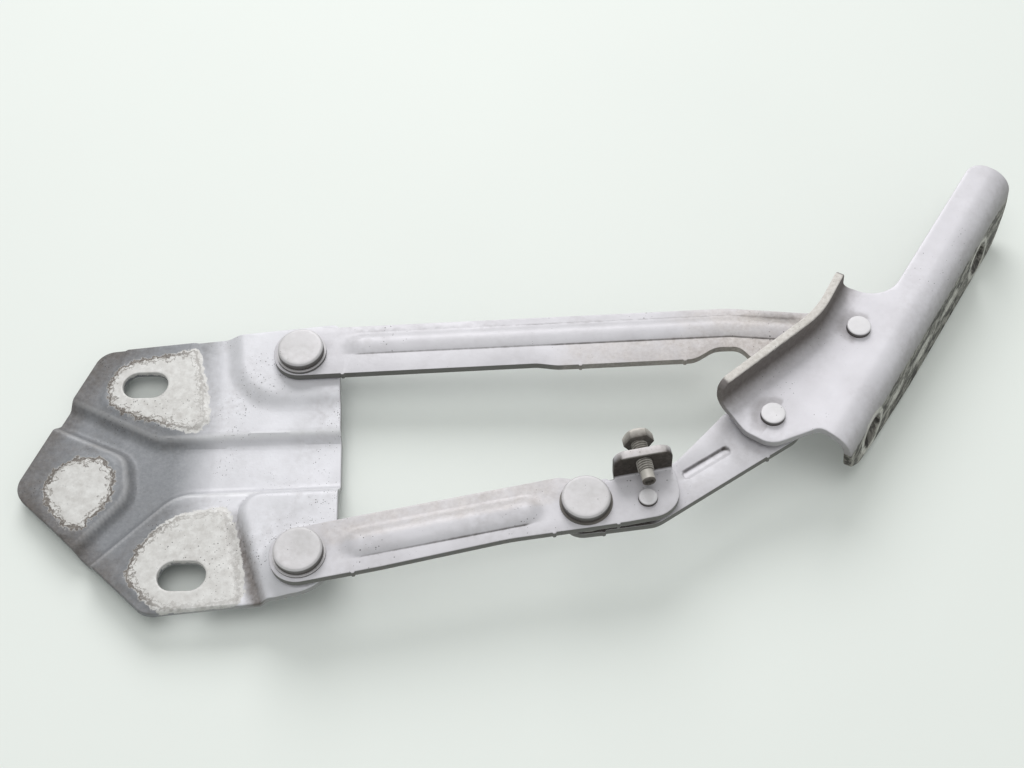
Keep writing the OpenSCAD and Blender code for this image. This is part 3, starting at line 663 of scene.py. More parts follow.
def pressBodyBracket(plan, x, y, areas, boss, step, pad):
    # height of the pressed sheet over the blank
    level = np.maximum.reduce([rise(area, plan["areaWall"]) for area in areas])
    z = plan["channel"] + (plan["plateau"] - plan["channel"]) * level
    z = z + (plan["upperTop"] - plan["plateau"]) * rise(boss, plan["bossWall"])
    stepRise = plan["stepTop"] - plan["channel"]
    z = np.maximum(z, plan["channel"] + stepRise * rise(step, plan["stepWall"]))
    pivotDist = np.hypot(x - pivotB[0], y - pivotB[1])
    z = z + (plan["coneTop"] - plan["stepTop"]) * fall(pivotDist, plan["coneWall"])
    return z + plan["padRise"] * rise(pad, plan["padWall"])


def wearAndHighlightBodyBracket(obj, plan, x, y, areas, step, pad, topSide):
    worn = insideAny(x, y, plan["worn"])
    soft = plan["wornSoft"] - plan["wornCrisper"] * rise(x, plan["crisperFade"])
    setMask(obj, "bare", ramp(worn + plan["wornOut"], soft) * topSide)
    setMask(obj, "peel", 0.5 + (worn - plan["peelIn"]) / plan["peelReach"])
    least = plan["peelLeast"]
    setMask(obj, "rim", (least + (1 - least) * fall(x, plan["peelFade"])) * topSide)
    # painted highlight along the crests of the steps
    crest = np.maximum.reduce([bell(area - plan["crestIn"], plan["crestWide"]) for area in areas])
    least = plan["crestLeast"]
    setMask(obj, "crestHighlight", crest * (least + (1 - least) * rise(x, plan["crestFade"])) * topSide)
    setMask(obj, "primer", 1 - rise(x, plan["primerFade"]))
    smear = bell(step - plan["smearIn"], plan["smearWide"])
    smear *= fall(y, plan["smearBelow"]) * fall(x, plan["smearLeft"])
    rim = signedDist(x, y, roundOutline(plan["outline"], rimStep))
    film = plan["rimFilm"] * fall(rim, plan["rimReach"]) * fall(x, plan["rimLeft"])
    padEdge = np.abs(pad + plan["padOut"])
    film += plan["padFilm"] * fall(padEdge, plan["padReach"]) * fall(x, plan["padLeft"])
    setMask(obj, "soilAndShade", np.clip(smear + film, 0, 1) * topSide)


def makeBodyBracket(plan):
    obj = blank("bodyBracketSkin", roundOutline(plan["outline"]), -sheet, sheet)
    halfX, halfY = plan["slotHalf"]
    for x, y in plan["slots"]:
        signs = ((-1, -1), (1, -1), (1, 1), (-1, 1))
        corners = [(x + a * halfX, y + b * halfY, plan["slotRound"]) for a, b in signs]
        slot = cutter(corners, plan["slotStep"])
        combine(obj, slot, "DIFFERENCE")
    breakEdges(obj, plan["edge"])
    gridCut(obj, spaced(*plan["cutsX"]), spaced(*plan["cutsY"]))
    points = readPoints(obj)
    x, y = points[:, 0].copy(), points[:, 1].copy()
    areas = [insideAny(x, y, [area]) for area in plan["areas"]]
    boss = insideAny(x, y, [plan["upperBoss"]])
    step = insideAny(x, y, [plan["lowerStep"]])
    pad = insideAny(x, y, plan["pads"])
    topSide = points[:, 2] > -sheet / 2
    points[:, 2] += pressBodyBracket(plan, x, y, areas, boss, step, pad)
    writePoints(obj, points)
    wearAndHighlightBodyBracket(obj, plan, x, y, areas, step, pad, topSide)
    finishPiece(obj, Matrix.Identity(4), "body_bracket", "body_bracket", basePaint, plan["smooth"])


makeBodyBracket(bodyBracket)

# upper link with its long bead, in the frame of its body pivot
upperLink = {
    "outline": [(-11.3, -10.4, 10.9), *nub(16.5, -9.8), (93, -8.1, 12), (101, -9.4, 12), *nub(110, -9.25),
                *nub(150.9, -8.45), (154.8, -8.4, 10), (163, -3.1, 9), (172.5, -3.1, 6), (179.9, -12.5, 4),
                (230.5, -12, 11), (230.5, 12, 11), (200, 12.1, 30), (169.5, 15.7, 40), (-11.3, 12, 10.9)],
    "eyeR": 6, "edge": 0.4, "cutsX": (14, 210, 3.0), "smooth": 35,
    "bead": [(22.0, 4.35), (169.5, 7.1), (196, 4.0)], "beadHalf": 5.2, "beadRise": 1.5,
    "notchAt": (218.5, 0), "notchTo": (5.6, 11), "notchR": 7.2, "notchLong": 30, "notchRound": 7.19,
    "rust": 0.55, "rustFade": (130, 50), "lipRust": 0.55, "lipFade": (92, 25), "lipEdge": (-1, 2),
    "smearRust": 0.6, "smearSide": 4.0, "smearFade": (150, 35),
    "creaseWide": 0.35, "creaseLeast": 0.5, "creaseMore": 0.4, "creaseFade": (96, 6),
    "softFootShade": 0.3, "softFootWide": 0.5, "footIn": 0.05,
    "stain": 0.4, "stainSide": 5.0, "stainFade": (168, 24), "smearWide": 3.0, "shadeAndStainEnd": (196, 4),
}


def wearAndShadeUpperLink(obj, plan, u, side, ends):
    half = plan["beadHalf"]
    lip = rise(u, plan["lipFade"]) * rise(-side - half, plan["lipEdge"])
    smear = bell(side - plan["smearSide"], plan["smearWide"]) * rise(u, plan["smearFade"])
    rust = plan["rust"] * rise(u, plan["rustFade"])
    setMask(obj, "rust", rust + plan["lipRust"] * lip + plan["smearRust"] * smear)
    # painted shade in the creases at both feet of the bead; the stain beside it is a real stain
    creaseShade = bell(np.hypot(side + half, ends) + plan["footIn"], plan["creaseWide"])
    creaseShade = creaseShade * (plan["creaseLeast"] + plan["creaseMore"] * rise(u, plan["creaseFade"]))
    softFootShade = plan["softFootShade"] * bell(np.hypot(side - half, ends) + plan["footIn"], plan["softFootWide"])
    stain = plan["stain"] * bell(side - plan["stainSide"], plan["smearWide"]) * rise(u, plan["stainFade"])
    setMask(obj, "soilAndShade", (creaseShade + softFootShade + stain) * (1 - rise(u, plan["shadeAndStainEnd"])))


def makeUpperLink(plan):
    obj = blank("upperLinkSkin", roundOutline(plan["outline"]), lowZ, sheet)
    roundHole(obj, 0, 0, plan["eyeR"])
    along = Vector(plan["notchTo"]).normalized()
    side = Vector((-along.y, along.x)) * plan["notchR"]
    near = Vector(plan["notchAt"]) - along * plan["notchR"]
    far = Vector(plan["notchAt"]) + along * plan["notchLong"]
    closed = plan["notchRound"]
    notch = [(*(near - side), closed), (*(far - side), 0), (*(far + side), 0), (*(near + side), closed)]
    combine(obj, cutter(notch), "DIFFERENCE")
    breakEdges(obj, plan["edge"])
    cutFeet(obj, plan["bead"][1:], plan["beadHalf"])
    cutFeet(obj, plan["bead"][:2], plan["beadHalf"])
    gridCut(obj, spaced(*plan["cutsX"]), [])
    points = readPoints(obj)
    side, ends = beadPlace(points, plan["bead"])
    points[:, 2] += plan["beadRise"] * pressed(side, ends, plan["beadHalf"])
    writePoints(obj, points)
    wearAndShadeUpperLink(obj, plan, points[:, 0], side, ends)
    finishPiece(obj, placed(pivotA, upperAngle), "upper_link", "upper_link", linkPaint,
                plan["smooth"])


makeUpperLink(upperLink)

# lower link with the broad bead and the folded stop tab, in the frame of its body pivot
lowerLink = {
    "outline": [(-11, -11, 10.5), *nub(18, -10.9), (28, -10.8, 100), (75, -9.2, 100), *nub(91.5, -9.9),
                *nub(114.9, -10.87), (118, -11, 60), (139.8, -11, 11), (139.8, 6.3, 0.6), (139.2, 6.9, 0.3),
                (139.2, 22.28, 5), (117.4, 22.28, 5), (117.4, 7.1, 0.8), (115.4, 7.1, 0.8),
                (114.6, 8.2, 0.8), (108, 8.4, 6), (97.4, 12.2, 8), (-11, 11, 10.5)],
    "holes": [(0, 0, 6), (105.23, 0, 6), (127.5, -3.1, 2)], "edge": 0.4, "smooth": 35,
    "beadCuts": (12, 92, 2.0), "tabCuts": (116, 139, 2.0), "tabRows": (7.6, 21.0, 1.0),
    "bead": [(21.5, 0.6), (83, 1.3)], "beadHalf": 6.2, "beadRise": 2.2,
    "foldLine": [(117, 7.0), (140, 7.0)], "tabFrom": 116.4, "tabInner": 1.0,
    "boltAt": (128.43, 9.5, 18.3), "boltHoleR": 3.05, "boltHoleLong": 20, "boltHoleSides": 48,
    "tabEnd": 110, "tabFront": 9.4, "frontFade": (highTop, 0.9), "topFade": (22.6, 0.6), "beadEnd": 92,
    "footIn": 0.05, "creaseWide": 0.35, "creaseLeast": 0.35, "creaseMore": 0.5, "creaseFade": (30, 30),
    "sideRust": 0.5, "sideFade": (-1.5, 4), "rustMiddle": 55, "rustReach": (60, 30),
    "tabRust": 0.7, "tabRustFade": (20, 3),
}


def wearAndShadeLowerLink(obj, plan, points):
    u, v, z = points.T
    side, ends = beadPlace(points, plan["bead"])
    onTab = u > plan["tabEnd"]
    # painted shade on the front face of the tab, and in the crease at the bead's foot
    frontShade = (v < plan["tabFront"]) * onTab * rise(z, plan["frontFade"])
    top = onTab * rise(z, plan["topFade"])
    creaseShade = bell(np.hypot(side + plan["beadHalf"], ends) + plan["footIn"], plan["creaseWide"])
    creaseShade *= plan["creaseLeast"] + plan["creaseMore"] * rise(u, plan["creaseFade"])
    creaseShade *= u < plan["beadEnd"]
    setMask(obj, "soilAndShade", frontShade * (1 - top) + creaseShade)
    upper = rise(side, plan["sideFade"]) * fall(np.abs(u - plan["rustMiddle"]), plan["rustReach"])
    tabRust = plan["tabRust"] * onTab * rise(z, plan["tabRustFade"])
    setMask(obj, "rust", plan["sideRust"] * upper + tabRust)


def makeLowerLink(plan):
    obj = blank("lowerLinkSkin", roundOutline(plan["outline"]), highZ, sheet)
    for hole in plan["holes"]:
        roundHole(obj, *hole)
    breakEdges(obj, plan["edge"])
    cutFeet(obj, plan["bead"], plan["beadHalf"])
    gridCut(obj, spaced(*plan["beadCuts"]) + spaced(*plan["tabCuts"]), spaced(*plan["tabRows"]))
    points = readPoints(obj)
    points[:, 2] += plan["beadRise"] * pressed(*beadPlace(points, plan["bead"]), plan["beadHalf"])
    onTab = (points[:, 0] > plan["tabFrom"]) & (points[:, 1] > plan["foldLine"][0][1])
    writePoints(obj, fold(points, plan["foldLine"], plan["tabInner"], math.pi / 2, True, onTab))
    clearSelection()
    bpy.ops.mesh.primitive_cylinder_add(vertices=plan["boltHoleSides"], radius=plan["boltHoleR"],
                                        depth=plan["boltHoleLong"], location=plan["boltAt"],
                                        rotation=(math.pi / 2, 0, 0))
    combine(obj, bpy.context.object, "DIFFERENCE")
    wearAndShadeLowerLink(obj, plan, readPoints(obj))
    finishPiece(obj, placed(pivotB, lowerAngle), "lower_link", "lower_link", linkPaint,
                plan["smooth"])


makeLowerLink(lowerLink)

# relay link under the lower link, in the frame of the knee
relayLink = {
    "outline": [(-10.5, -7, 8), *nub(1.5, -11.13), (20, -17.5, 12), *nub(70.5, -11.85), (91.4, -9.6, 11),
                (91.4, 12, 11.5), (66, 12, 15), (38, 1.6, 12), (-9.5, 11.5, 8)],
    "holes": [(0, 0, 5), (79.38, 0, 6), (20.56, -9.19, 2)], "edge": 0.4, "smooth": 35,
    "groove": [(40.5, -4.5), (57.4, -2.7)], "grooveHalf": 2.1, "depth": 1.15, "wall": 0.55, "wallOut": 0.25,
    "floorMiddle": 0.55, "floorTilt": 0.45,
    "leadIn": 0.45, "leadReach": 4.5, "leadEnds": 3.5, "leadOut": 0.2,
    "grooveCuts": (37, 61.2, 0.4), "coverCuts": [17.4, 23.2], "coverFade": (23.2, 5.8),
    "wallMargin": 0.3, "wallRows": 17, "leadRows": (0.7, 4.7, 6), "topWithin": 0.02,
    "soilAndShade": 0.75, "wallIn": 0.1, "wallShadeWide": 0.4, "wallEnds": 1.5, "pocketWide": 0.6, "pocketIn": 0.3,
    "pocketFrom": (-0.6, 1), "pocketSide": (-1, 2),
}


def pressRelayLink(plan, side, ends):
    # depth of the groove: a floor that tilts, steep walls, and a soft way in on its left side
    half = plan["grooveHalf"]
    inside = ramp(half + plan["wallOut"] - np.hypot(side, ends), plan["wall"])
    floor = plan["floorMiddle"] + plan["floorTilt"] * np.clip(side / half, -1, 1)
    lead = np.clip(1 - (side - half) / plan["leadReach"], 0, 1) ** 2 * (side > half) + (side <= half)
    lead *= np.clip(1 - (ends / plan["leadEnds"]) ** 2, 0, 1) * ramp(side + half + plan["leadOut"], half)
    return plan["depth"] * inside * floor + plan["leadIn"] * lead


def shadeRelayLink(obj, plan, points, side, ends):
    half = plan["grooveHalf"]
    u, z = points[:, 0], points[:, 2]
    # painted shade along the groove's wall and in the pocket at its right end
    wall = bell(side - half + plan["wallIn"], plan["wallShadeWide"]) * bell(ends, plan["wallEnds"])
    pocketShade = bell(np.hypot(side, ends) - half + plan["pocketIn"], plan["pocketWide"])
    pocketShade *= rise(u - plan["groove"][1][0], plan["pocketFrom"]) * rise(side, plan["pocketSide"])
    onTop = z > lowTop - plan["topWithin"]
    coveredShadow = fall(u, plan["coverFade"]) * onTop  # painted shadow, with some dirt, on the strip under the lower link
    setMask(obj, "soilAndShade", plan["soilAndShade"] * (wall + pocketShade) + coveredShadow)
    setMask(obj, "rust", np.zeros(len(points)))


def makeRelayLink(plan):
    obj = blank("relayLinkSkin", roundOutline(plan["outline"]), lowZ, sheet)
    for hole in plan["holes"]:
        roundHole(obj, *hole)
    breakEdges(obj, plan["edge"])
    half = plan["grooveHalf"]
    lean, middle = leanOf(plan["groove"])
    edge = half + plan["wallMargin"]
    first, last, rows = plan["leadRows"]
    across = list(np.linspace(-edge, edge, plan["wallRows"]))
    across += list(np.linspace(half + first, half + last, rows))
    gridCut(obj, plan["coverCuts"] + spaced(*plan["grooveCuts"]), [middle + k for k in across], lean)
    points = readPoints(obj)
    side, ends = beadPlace(points, plan["groove"])
    points[:, 2] -= pressRelayLink(plan, side, ends)
    writePoints(obj, points)
    shadeRelayLink(obj, plan, points, side, ends)
    finishPiece(obj, placed(pivotM, relayAngle), "lower_link", "relay_link", linkPaint,
                plan["smooth"])


makeRelayLink(relayLink)

# bonnet bracket: web, stop flange folded up, bonnet flange folded down, in the frame of its lower pivot
bonnetBracket = {
    "outline": [(-16.55, 65.5, 3.5), (-15.4, 45.9, 40), (-31.1, -1.2, 5), (-15.1, -6.5, 3), (-6, -11.4, 10),
                (5.5, -11.6, 9), (17.5, 4.5, 4), (24, 4, 3), (41, 4, 5), (48.5, 12, 12), (52, 27, 30),
                (56.0, 60, 60), (56.0, 146, 15), (43, 157.4, 15), (13.5, 157.4, 7), (13.5, 70, 13),
                (0, 70, 3)],
    "edge": 0.45, "smooth": 35, "cutsY": (-6, 156, 1.5),
    "cutsX": [(-30, -16, 1.6), (-15.5, 2, 0.9), (3, 20, 2.6), (21.7, 35.0, 0.9), (36, 56, 1.2)],
    "stopLine": [(-15.6, -7.9, 0), (1.6, 43.6, 45), (-0.2, 74, 0)],
    "stopInner": 4.0, "stopWithin": 10, "offStop": -20,
    "flangeAt": 21.7, "flangeEnds": (170, -10), "flangeInner": 6.8, "flangeTurn": math.radians(84),
    "flangeFrom": 15, "holes": [(7.0, 23.5), (12.5, 127.5)], "holeR": 6.5,
    "ringR": 8.6, "ringWide": 1.3, "patches": [(10, 46, 3.4, 9), (11, 70, 3.6, 12), (10, 98, 3.2, 11)],
    "patchFull": 1.3, "bareFrom": -2, "scrapeFade": (-2.4, 4), "scrapeLean": 0.02,
    "topEdgeFade": (15.9, 0.9), "stopShadeAndDirt": 0.95, "stopFade": (-7, 16),
    "spots": [(10.0, 53.2, 6.0), (0.0, 0.0, 6.5)], "spotSoil": 0.4, "spotWide": 2.2, "spotPast": 1,
    "webEnd": 18, "webWithin": 0.6,
    "bendShade": 0.32, "bendFade": (-12, 11),
}


def wearAndShadeBonnetBracket(obj, plan, n, s, z, down, stand):
    # n and s are places on the flat blank, down is past the bend, stand is up the stop flange
    bare = np.zeros(len(n))
    for x, along in plan["holes"]:
        ring = bell(np.hypot(down - x, s - along) - plan["ringR"], plan["ringWide"])
        bare = np.maximum(bare, ring)
    for x, along, halfWide, halfLong in plan["patches"]:
        patch = plan["patchFull"] - np.hypot((down - x) / halfWide, (s - along) / halfLong)
        bare = np.maximum(bare, patch)
    setMask(obj, "scrape", rise(down - s * plan["scrapeLean"], plan["scrapeFade"]))
    setMask(obj, "bare", np.clip(bare, 0, 1) * (down > plan["bareFrom"]))
    setMask(obj, "topEdge", rise(stand, plan["topEdgeFade"]))
    spots = np.zeros(len(n))
    for x, along, radius in plan["spots"]:
        spot = bell(np.hypot(n - x, s - along) - radius, plan["spotWide"]) * (n < x + plan["spotPast"])
        spots = np.maximum(spots, spot)
    onWeb = (n < plan["webEnd"]) & (z > highTop - plan["webWithin"])
    # painted shade on the bend, and painted shade with some dirt on the stop flange's inner face; the spots
    # on the web are dirt
    bend = plan["bendShade"] * rise(down, plan["bendFade"]) * (n > plan["flangeFrom"])
    stop = plan["stopShadeAndDirt"] * rise(stand, plan["stopFade"])
    setMask(obj, "soilAndShade", stop + plan["spotSoil"] * spots * onWeb + bend)


def makeBonnetBracket(plan):
    obj = blank("bonnetBracketSkin", roundOutline(plan["outline"]), highZ, sheet)
    bendEnd = plan["flangeAt"] + plan["flangeTurn"] * (plan["flangeInner"] + sheet / 2)
    for x, along in plan["holes"]:
        roundHole(obj, bendEnd + x, along, plan["holeR"])
    breakEdges(obj, plan["edge"])
    gridCut(obj, [x for cuts in plan["cutsX"] for x in spaced(*cuts)], spaced(*plan["cutsY"]))
    points = readPoints(obj)
    n, s = points[:, 0].copy(), points[:, 1].copy()
    stopLine = roundOutline(plan["stopLine"], rimStep)
    onStop = n < plan["stopWithin"]
    stand = np.where(onStop, lineDist(n, s, stopLine)[0], plan["offStop"])
    points = fold(points, stopLine, plan["stopInner"], math.pi / 2, True, onStop)
    flangeLine = [(plan["flangeAt"], end) for end in plan["flangeEnds"]]
    onFlange = n > plan["flangeFrom"]
    points = fold(points, flangeLine, plan["flangeInner"], plan["flangeTurn"], False, onFlange)
    writePoints(obj, points)
    wearAndShadeBonnetBracket(obj, plan, n, s, points[:, 2], n - bendEnd, stand)
    finishPiece(obj, placed(pivotD, bracketAngle), "bonnet_bracket", "bonnet_bracket",
                bracketPaint, plan["smooth"])


makeBonnetBracket(bonnetBracket)

# large pivot rivets: place, top of the sheet below, underside of the head, body and node
bigRivet = {
    "headR": 9.0, "headH": 3.8, "crown": [(0.0, 0.15), (4.5, 0.1), (7.2, 0.0)], "crownR": 1.1, "rimR": 0.6,
    "pinR": 5.0, "tailGap": 0.05, "tail": [(7.5, 0.0), (7.5, 1.5), (6.6, 2.3), (0.0, 2.4)],
    "sides": 64, "smooth": 40, "footShadeWide": 1.1, "footShadeFrom": 7,
    "rivets": {
        "upperBodyRivetSkin": (pivotA, 2.2, 7.3, "body_bracket", "upper_body_rivet"),
        "lowerBodyRivetSkin": (pivotB, 6.2, 11.9, "body_bracket", "lower_body_rivet"),
        "kneeRivetSkin": (pivotM, 6.0, 11.9, "lower_link", "knee_rivet")},
}


def makeBigRivet(plan, name, at, seat, headZ, body, node):
    under = seat - sheet - plan["tailGap"]
    top = headZ + plan["headH"]
    headR, crownR, rimR = plan["headR"], plan["crownR"], plan["rimR"]
    profile = dropped(plan["crown"], top) + arcProfile(headR - crownR, top - crownR, crownR, 82, 0)
    profile += arcProfile(headR - rimR, headZ + rimR, rimR, 0, -90, 4)
    profile += [(plan["pinR"], headZ), (plan["pinR"], under)] + dropped(plan["tail"], under)
    obj = lathe(name, profile, plan["sides"])
    points = readPoints(obj)
    outer = np.hypot(points[:, 0], points[:, 1]) > plan["footShadeFrom"]
    # painted shade in a ring under the head
    setMask(obj, "soilAndShade", bell(points[:, 2] - headZ, plan["footShadeWide"]) * outer)
    finishPiece(obj, placed(at), body, node, headPaint, plan["smooth"])


for name, place in bigRivet["rivets"].items():
    makeBigRivet(bigRivet, name, *place)

# small formed heads on the bonnet bracket: place, radius of the pin, node
smallRivet = {
    "headH": 2.2, "crown": [(0.0, 0.02), (2.6, 0.0)], "headR": 4.65, "crownR": 0.5, "neckR": 3.5,
    "neckGap": 0.05, "tail": [(7.5, 0.1), (7.5, 1.6), (6.7, 2.4), (0.0, 2.5)],
    "sides": 56, "smooth": 40, "footShadeWide": 0.5,
    "rivets": {
        "upperBonnetRivetSkin": (pivotC, 4.0, "upper_bonnet_rivet"),
        "lowerBonnetRivetSkin": (pivotD, 5.0, "lower_bonnet_rivet")},
}


def makeSmallRivet(plan, name, at, pinR, node):
    top = highTop + plan["headH"]
    headR, crownR, neckR = plan["headR"], plan["crownR"], plan["neckR"]
    neckEnd = highZ - plan["neckGap"]
    profile = dropped(plan["crown"], top) + arcProfile(headR - crownR, top - crownR, crownR, 90, 0)
    profile += [(headR, highTop), (neckR, highTop), (neckR, neckEnd), (pinR, neckEnd)]
    profile += [(pinR, lowZ - plan["tail"][0][1])] + dropped(plan["tail"], lowZ)
    obj = lathe(name, profile, plan["sides"])
    # painted shade in a ring at the foot of the head
    setMask(obj, "soilAndShade", bell(readPoints(obj)[:, 2] - highTop, plan["footShadeWide"]))
    finishPiece(obj, placed(at), "bonnet_bracket", node, smallHeadPaint, plan["smooth"])


for name, place in smallRivet["rivets"].items():
    makeSmallRivet(smallRivet, name, *place)

# shear rivet, domed
shearRivet = {
    "at": (195.99, -63.02), "headR": 3.6, "rise": 1.6, "crown": [(0.0, 0.0), (1.4, 0.01)],
    "domeAt": 2.95, "domeR": 0.55, "pinR": 2.0, "tail": [(3.6, 0.0), (3.4, 1.2), (0.0, 1.6)],
    "sides": 40, "smooth": 40, "footShadeWide": 0.9,
}


def makeShearRivet(plan):
    top = highTop + plan["rise"]
    profile = dropped(plan["crown"], top)
    profile += arcProfile(plan["domeAt"], top - plan["domeR"], plan["domeR"], 88, 0)
    profile += [(plan["headR"], highTop), (plan["pinR"], highTop), (plan["pinR"], lowZ)]
    profile += dropped(plan["tail"], lowZ)
    obj = lathe("shearRivetSkin", profile, plan["sides"])
    # painted shade in a ring at the foot of the head
    setMask(obj, "soilAndShade", bell(readPoints(obj)[:, 2] - highTop, plan["footShadeWide"]))
    finishPiece(obj, placed(plan["at"]), "lower_link", "shear_rivet", smallHeadPaint,
                plan["smooth"])


makeShearRivet(shearRivet)

# stop bolt: threaded shank, chamfered hexagon head, plain tip with a recess
stopBolt = {
    "along": 128.43, "axisZ": 18.3, "headFrom": 16.0, "headH": 4.0, "flats": 10.0, "headTurn": -28,
    "chamferFoot": 9.9, "chamferTop": 4.65, "chamferSides": 72, "headEdge": 0.12,
    "shankR": 3.0, "shank": 12.2, "inHead": 1.0, "pitch": 1.0, "ringStep": 0.125,
    "threadDepth": 0.18, "threadSteep": 1.25, "threadCrest": 0.1, "threadRun": 0.8, "runDepth": 0.1,
    "tip": 4.4, "tipR": 2.45, "neck": [(0.1, 0.15), (0.0, 0.4)],
    "tipEdge": [(0.0, 0.8), (0.0, 0.6), (0.0, 0.25), (-0.2, 0.0)],
    "recess": [(1.7, 0.0), (1.5, 1.0), (0.0, 1.2)], "sides": 48, "smooth": 30,
    "soilAndShade": 0.12, "headUnderShade": 0.75, "headFade": (-1.6, 1.5), "threadRootDark": 0.6, "rootR": 2.75,
    "headInner": 3.2, "tipEndShade": 0.7, "recessFrom": 0.5, "recessShadeR": 2,
}


def boltShank(plan):
    end, tipR = plan["shank"], plan["tipR"]
    tipEnd = end + plan["tip"]
    rings = int(end / plan["ringStep"])
    profile = [(0.0, -plan["inHead"]), (plan["shankR"], -plan["inHead"])]
    profile += [(plan["shankR"], end * k / rings) for k in range(rings + 1)]
    profile += [(tipR + more, end + past) for more, past in plan["neck"]]
    profile += [(tipR + more, tipEnd - depth) for more, depth in plan["tipEdge"]]
    profile += dropped(plan["recess"], tipEnd)
    obj = lathe("stopBoltSkin", profile, plan["sides"])
    points = readPoints(obj)
    x, y, z = points.T
    turn = np.arctan2(y, x) / (2 * math.pi)
    wave = np.abs(((z / plan["pitch"] - turn) % 1.0) - 0.5) * 2
    runOut = 1 - np.clip((end - z) / plan["threadRun"], 0, 1)
    onShank = (z < end + weldGap) & (np.hypot(x, y) > plan["rootR"])
    groove = np.clip(wave * plan["threadSteep"] - plan["threadCrest"], 0, 1)
    cut = plan["threadDepth"] * groove + plan["runDepth"] * runOut
    points[:, :2] *= np.where(onShank, 1 - cut, 1)[:, None]
    writePoints(obj, points)
    return obj


def boltHead(plan):
    clearSelection()
    height = plan["headH"]
    bpy.ops.mesh.primitive_cylinder_add(vertices=6, radius=plan["flats"] / 2 / math.cos(math.pi / 6),
                                        depth=height, location=(0, 0, -height / 2),
                                        rotation=(0, 0, math.radians(plan["headTurn"])))
    head = bpy.context.object
    bpy.ops.object.transform_apply(location=True, rotation=True, scale=True)
    bpy.ops.mesh.primitive_cone_add(vertices=plan["chamferSides"], radius1=plan["chamferFoot"],
                                    radius2=plan["chamferTop"], depth=height, location=(0, 0, -height / 2),
                                    rotation=(math.pi, 0, 0))
    combine(head, bpy.context.object, "INTERSECT")
    breakEdges(head, plan["headEdge"], 2)
    return head


def makeStopBolt(plan):
    obj = boltShank(plan)
    head = boltHead(plan)
    selectOnly(obj)
    head.select_set(True)
    bpy.ops.object.join()
    x, y, z = readPoints(obj).T
    radius = np.hypot(x, y)
    end = plan["shank"]
    # dirt all over; painted shade on the head's underside, the tip's end face and its recess; darker in the
    # thread roots
    soilAndShade = plan["soilAndShade"] + plan["headUnderShade"] * (radius > plan["headInner"]) * rise(z, plan["headFade"])
    soilAndShade += plan["threadRootDark"] * (radius < plan["rootR"]) * (z < end + weldGap)
    soilAndShade += z > end + plan["tip"] - plan["tipEndShade"]
    soilAndShade += (z > end + plan["recessFrom"]) & (radius < plan["recessShadeR"])
    setMask(obj, "soilAndShade", soilAndShade)
    stand = Matrix.Translation((plan["along"], plan["headFrom"], plan["axisZ"]))
    stand = stand @ Matrix.Rotation(math.pi / 2, 4, "X")
    finishPiece(obj, placed(pivotB, lowerAngle) @ stand, "stop_bolt", "stop_bolt", boltZinc,
                plan["smooth"])


makeStopBolt(stopBolt)

# bushes and washers stay as they are, with their own finish
# the knee bush is dark as painted shade in the gap under the knee head
bushFinish = {"upper_body_bush": headPaint, "lower_body_bush": headPaint, "knee_bush": shadeDarkBush,
              "upper_bonnet_bush": bushMetal, "lower_bonnet_bush": bushMetal,
              "upper_body_washer": bushMetal, "lower_body_washer": bushMetal, "knee_washer": bushMetal,
              "upper_bonnet_washer": bushMetal, "lower_bonnet_washer": bushMetal}
for name, finish in bushFinish.items():
    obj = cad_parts[name]
    obj.data.materials.clear()
    obj.data.materials.append(finish)
print("bushes and washers finished", len(bushFinish))

# table under the part, sloping a little, in metres
tableTop = {"half": 4.0, "level": -0.0201, "slope": 0.043, "towards": (0.8434, -0.5373), "levelAt": 0.2556,
            "tone": (0.79, 0.818, 0.79), "shade": (0.765, 0.793, 0.767), "cloud": (9.0, 5.0), "rough": 0.6}


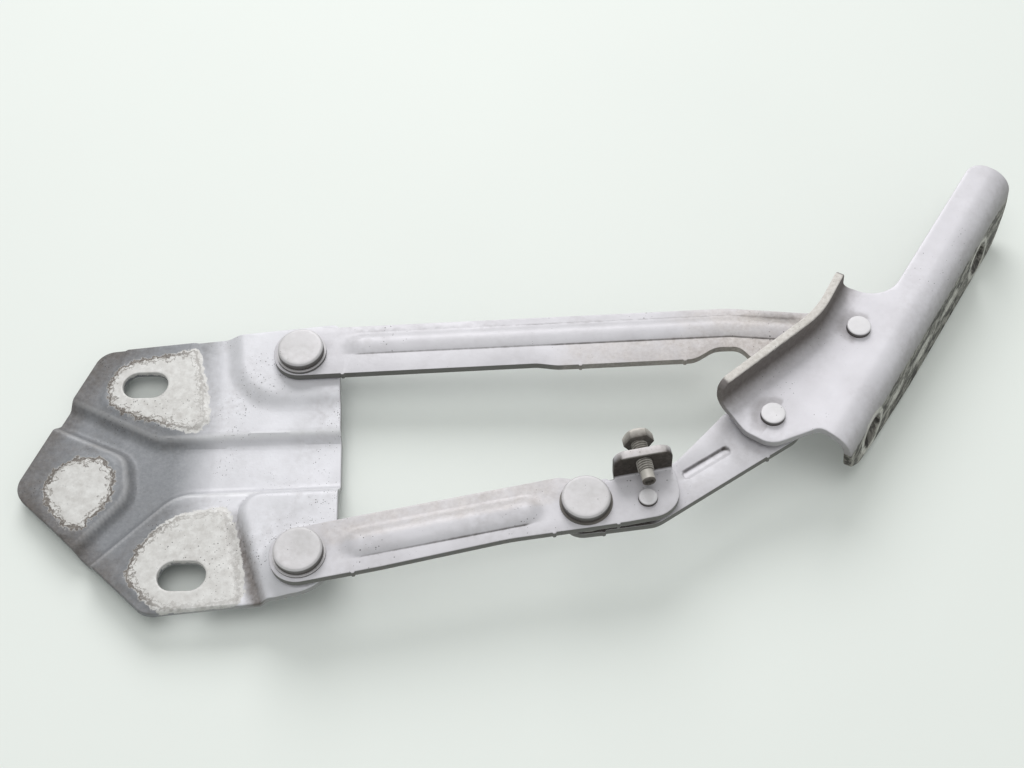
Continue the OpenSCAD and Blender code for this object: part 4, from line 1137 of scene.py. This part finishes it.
def makeTable(plan):
    clearSelection()
    bpy.ops.mesh.primitive_plane_add(size=2 * plan["half"])
    table = bpy.context.object
    table.name = "table"
    toX, toY = plan["towards"]
    for v in table.data.vertices:
        along = toX * v.co.x + toY * v.co.y - plan["levelAt"]
        v.co.z = plan["level"] - plan["slope"] * along
    mat, tree, bsdf = newMaterial("tableTop")
    coord = put(tree, "ShaderNodeTexCoord", -900, 0)
    cloud = noise(tree, -700, 0, coord.outputs["Object"], *plan["cloud"])
    feed(tree, bsdf.inputs["Base Color"], mixColour(tree, -400, 0, cloud, plan["tone"], plan["shade"]))
    bsdf.inputs["Roughness"].default_value = plan["rough"]
    table.data.materials.append(mat)


makeTable(tableTop)

# soft studio light: place, size and power of each lamp, and the world
studio = {"aim": (0.16, -0.02, 0),
          "lamps": {"keySoftbox": ((0.0, 1.9, 1.6), 1.6, 34), "topSoftbox": ((0.1, -0.15, 1.6), 1.3, 7.5)},
          "world": (0.935, 0.97, 0.94), "worldStrength": 0.51}


def areaLight(name, at, size, power):
    data = bpy.data.lights.new(name, "AREA")
    data.shape = "DISK"
    data.size = size
    data.energy = power
    obj = bpy.data.objects.new(name, data)
    bpy.context.scene.collection.objects.link(obj)
    obj.location = at
    obj.rotation_euler = (Vector(studio["aim"]) - Vector(at)).to_track_quat("-Z", "Y").to_euler()


for name, lamp in studio["lamps"].items():
    areaLight(name, *lamp)
world = bpy.data.worlds.new("studio")
bpy.context.scene.world = world
world.use_nodes = True
background = world.node_tree.nodes["Background"]
background.inputs[0].default_value = (*studio["world"], 1)
background.inputs[1].default_value = studio["worldStrength"]
bpy.context.scene.view_settings.view_transform = "Standard"
print("table and light made")

# camera at the photograph's angle: its own axes and place in the frame
view = {"right": (0.99912, 0, -0.04201), "up": (0.02368, 0.82599, 0.56318),
        "back": (0.03470, -0.56368, 0.82527), "at": (0.1665, -0.3361, 0.4867),
        "lens": 52.73, "sensor": 36, "nearest": 0.01}
camera = bpy.data.cameras.new("camera")
camera.sensor_width = view["sensor"]
camera.lens = view["lens"]
camera.clip_start = view["nearest"]
cameraObject = bpy.data.objects.new("camera", camera)
bpy.context.scene.collection.objects.link(cameraObject)
turn = Matrix((view["right"], view["up"], view["back"])).transposed().to_4x4()
cameraObject.matrix_world = Matrix.Translation(view["at"]) @ turn
bpy.context.scene.camera = cameraObject
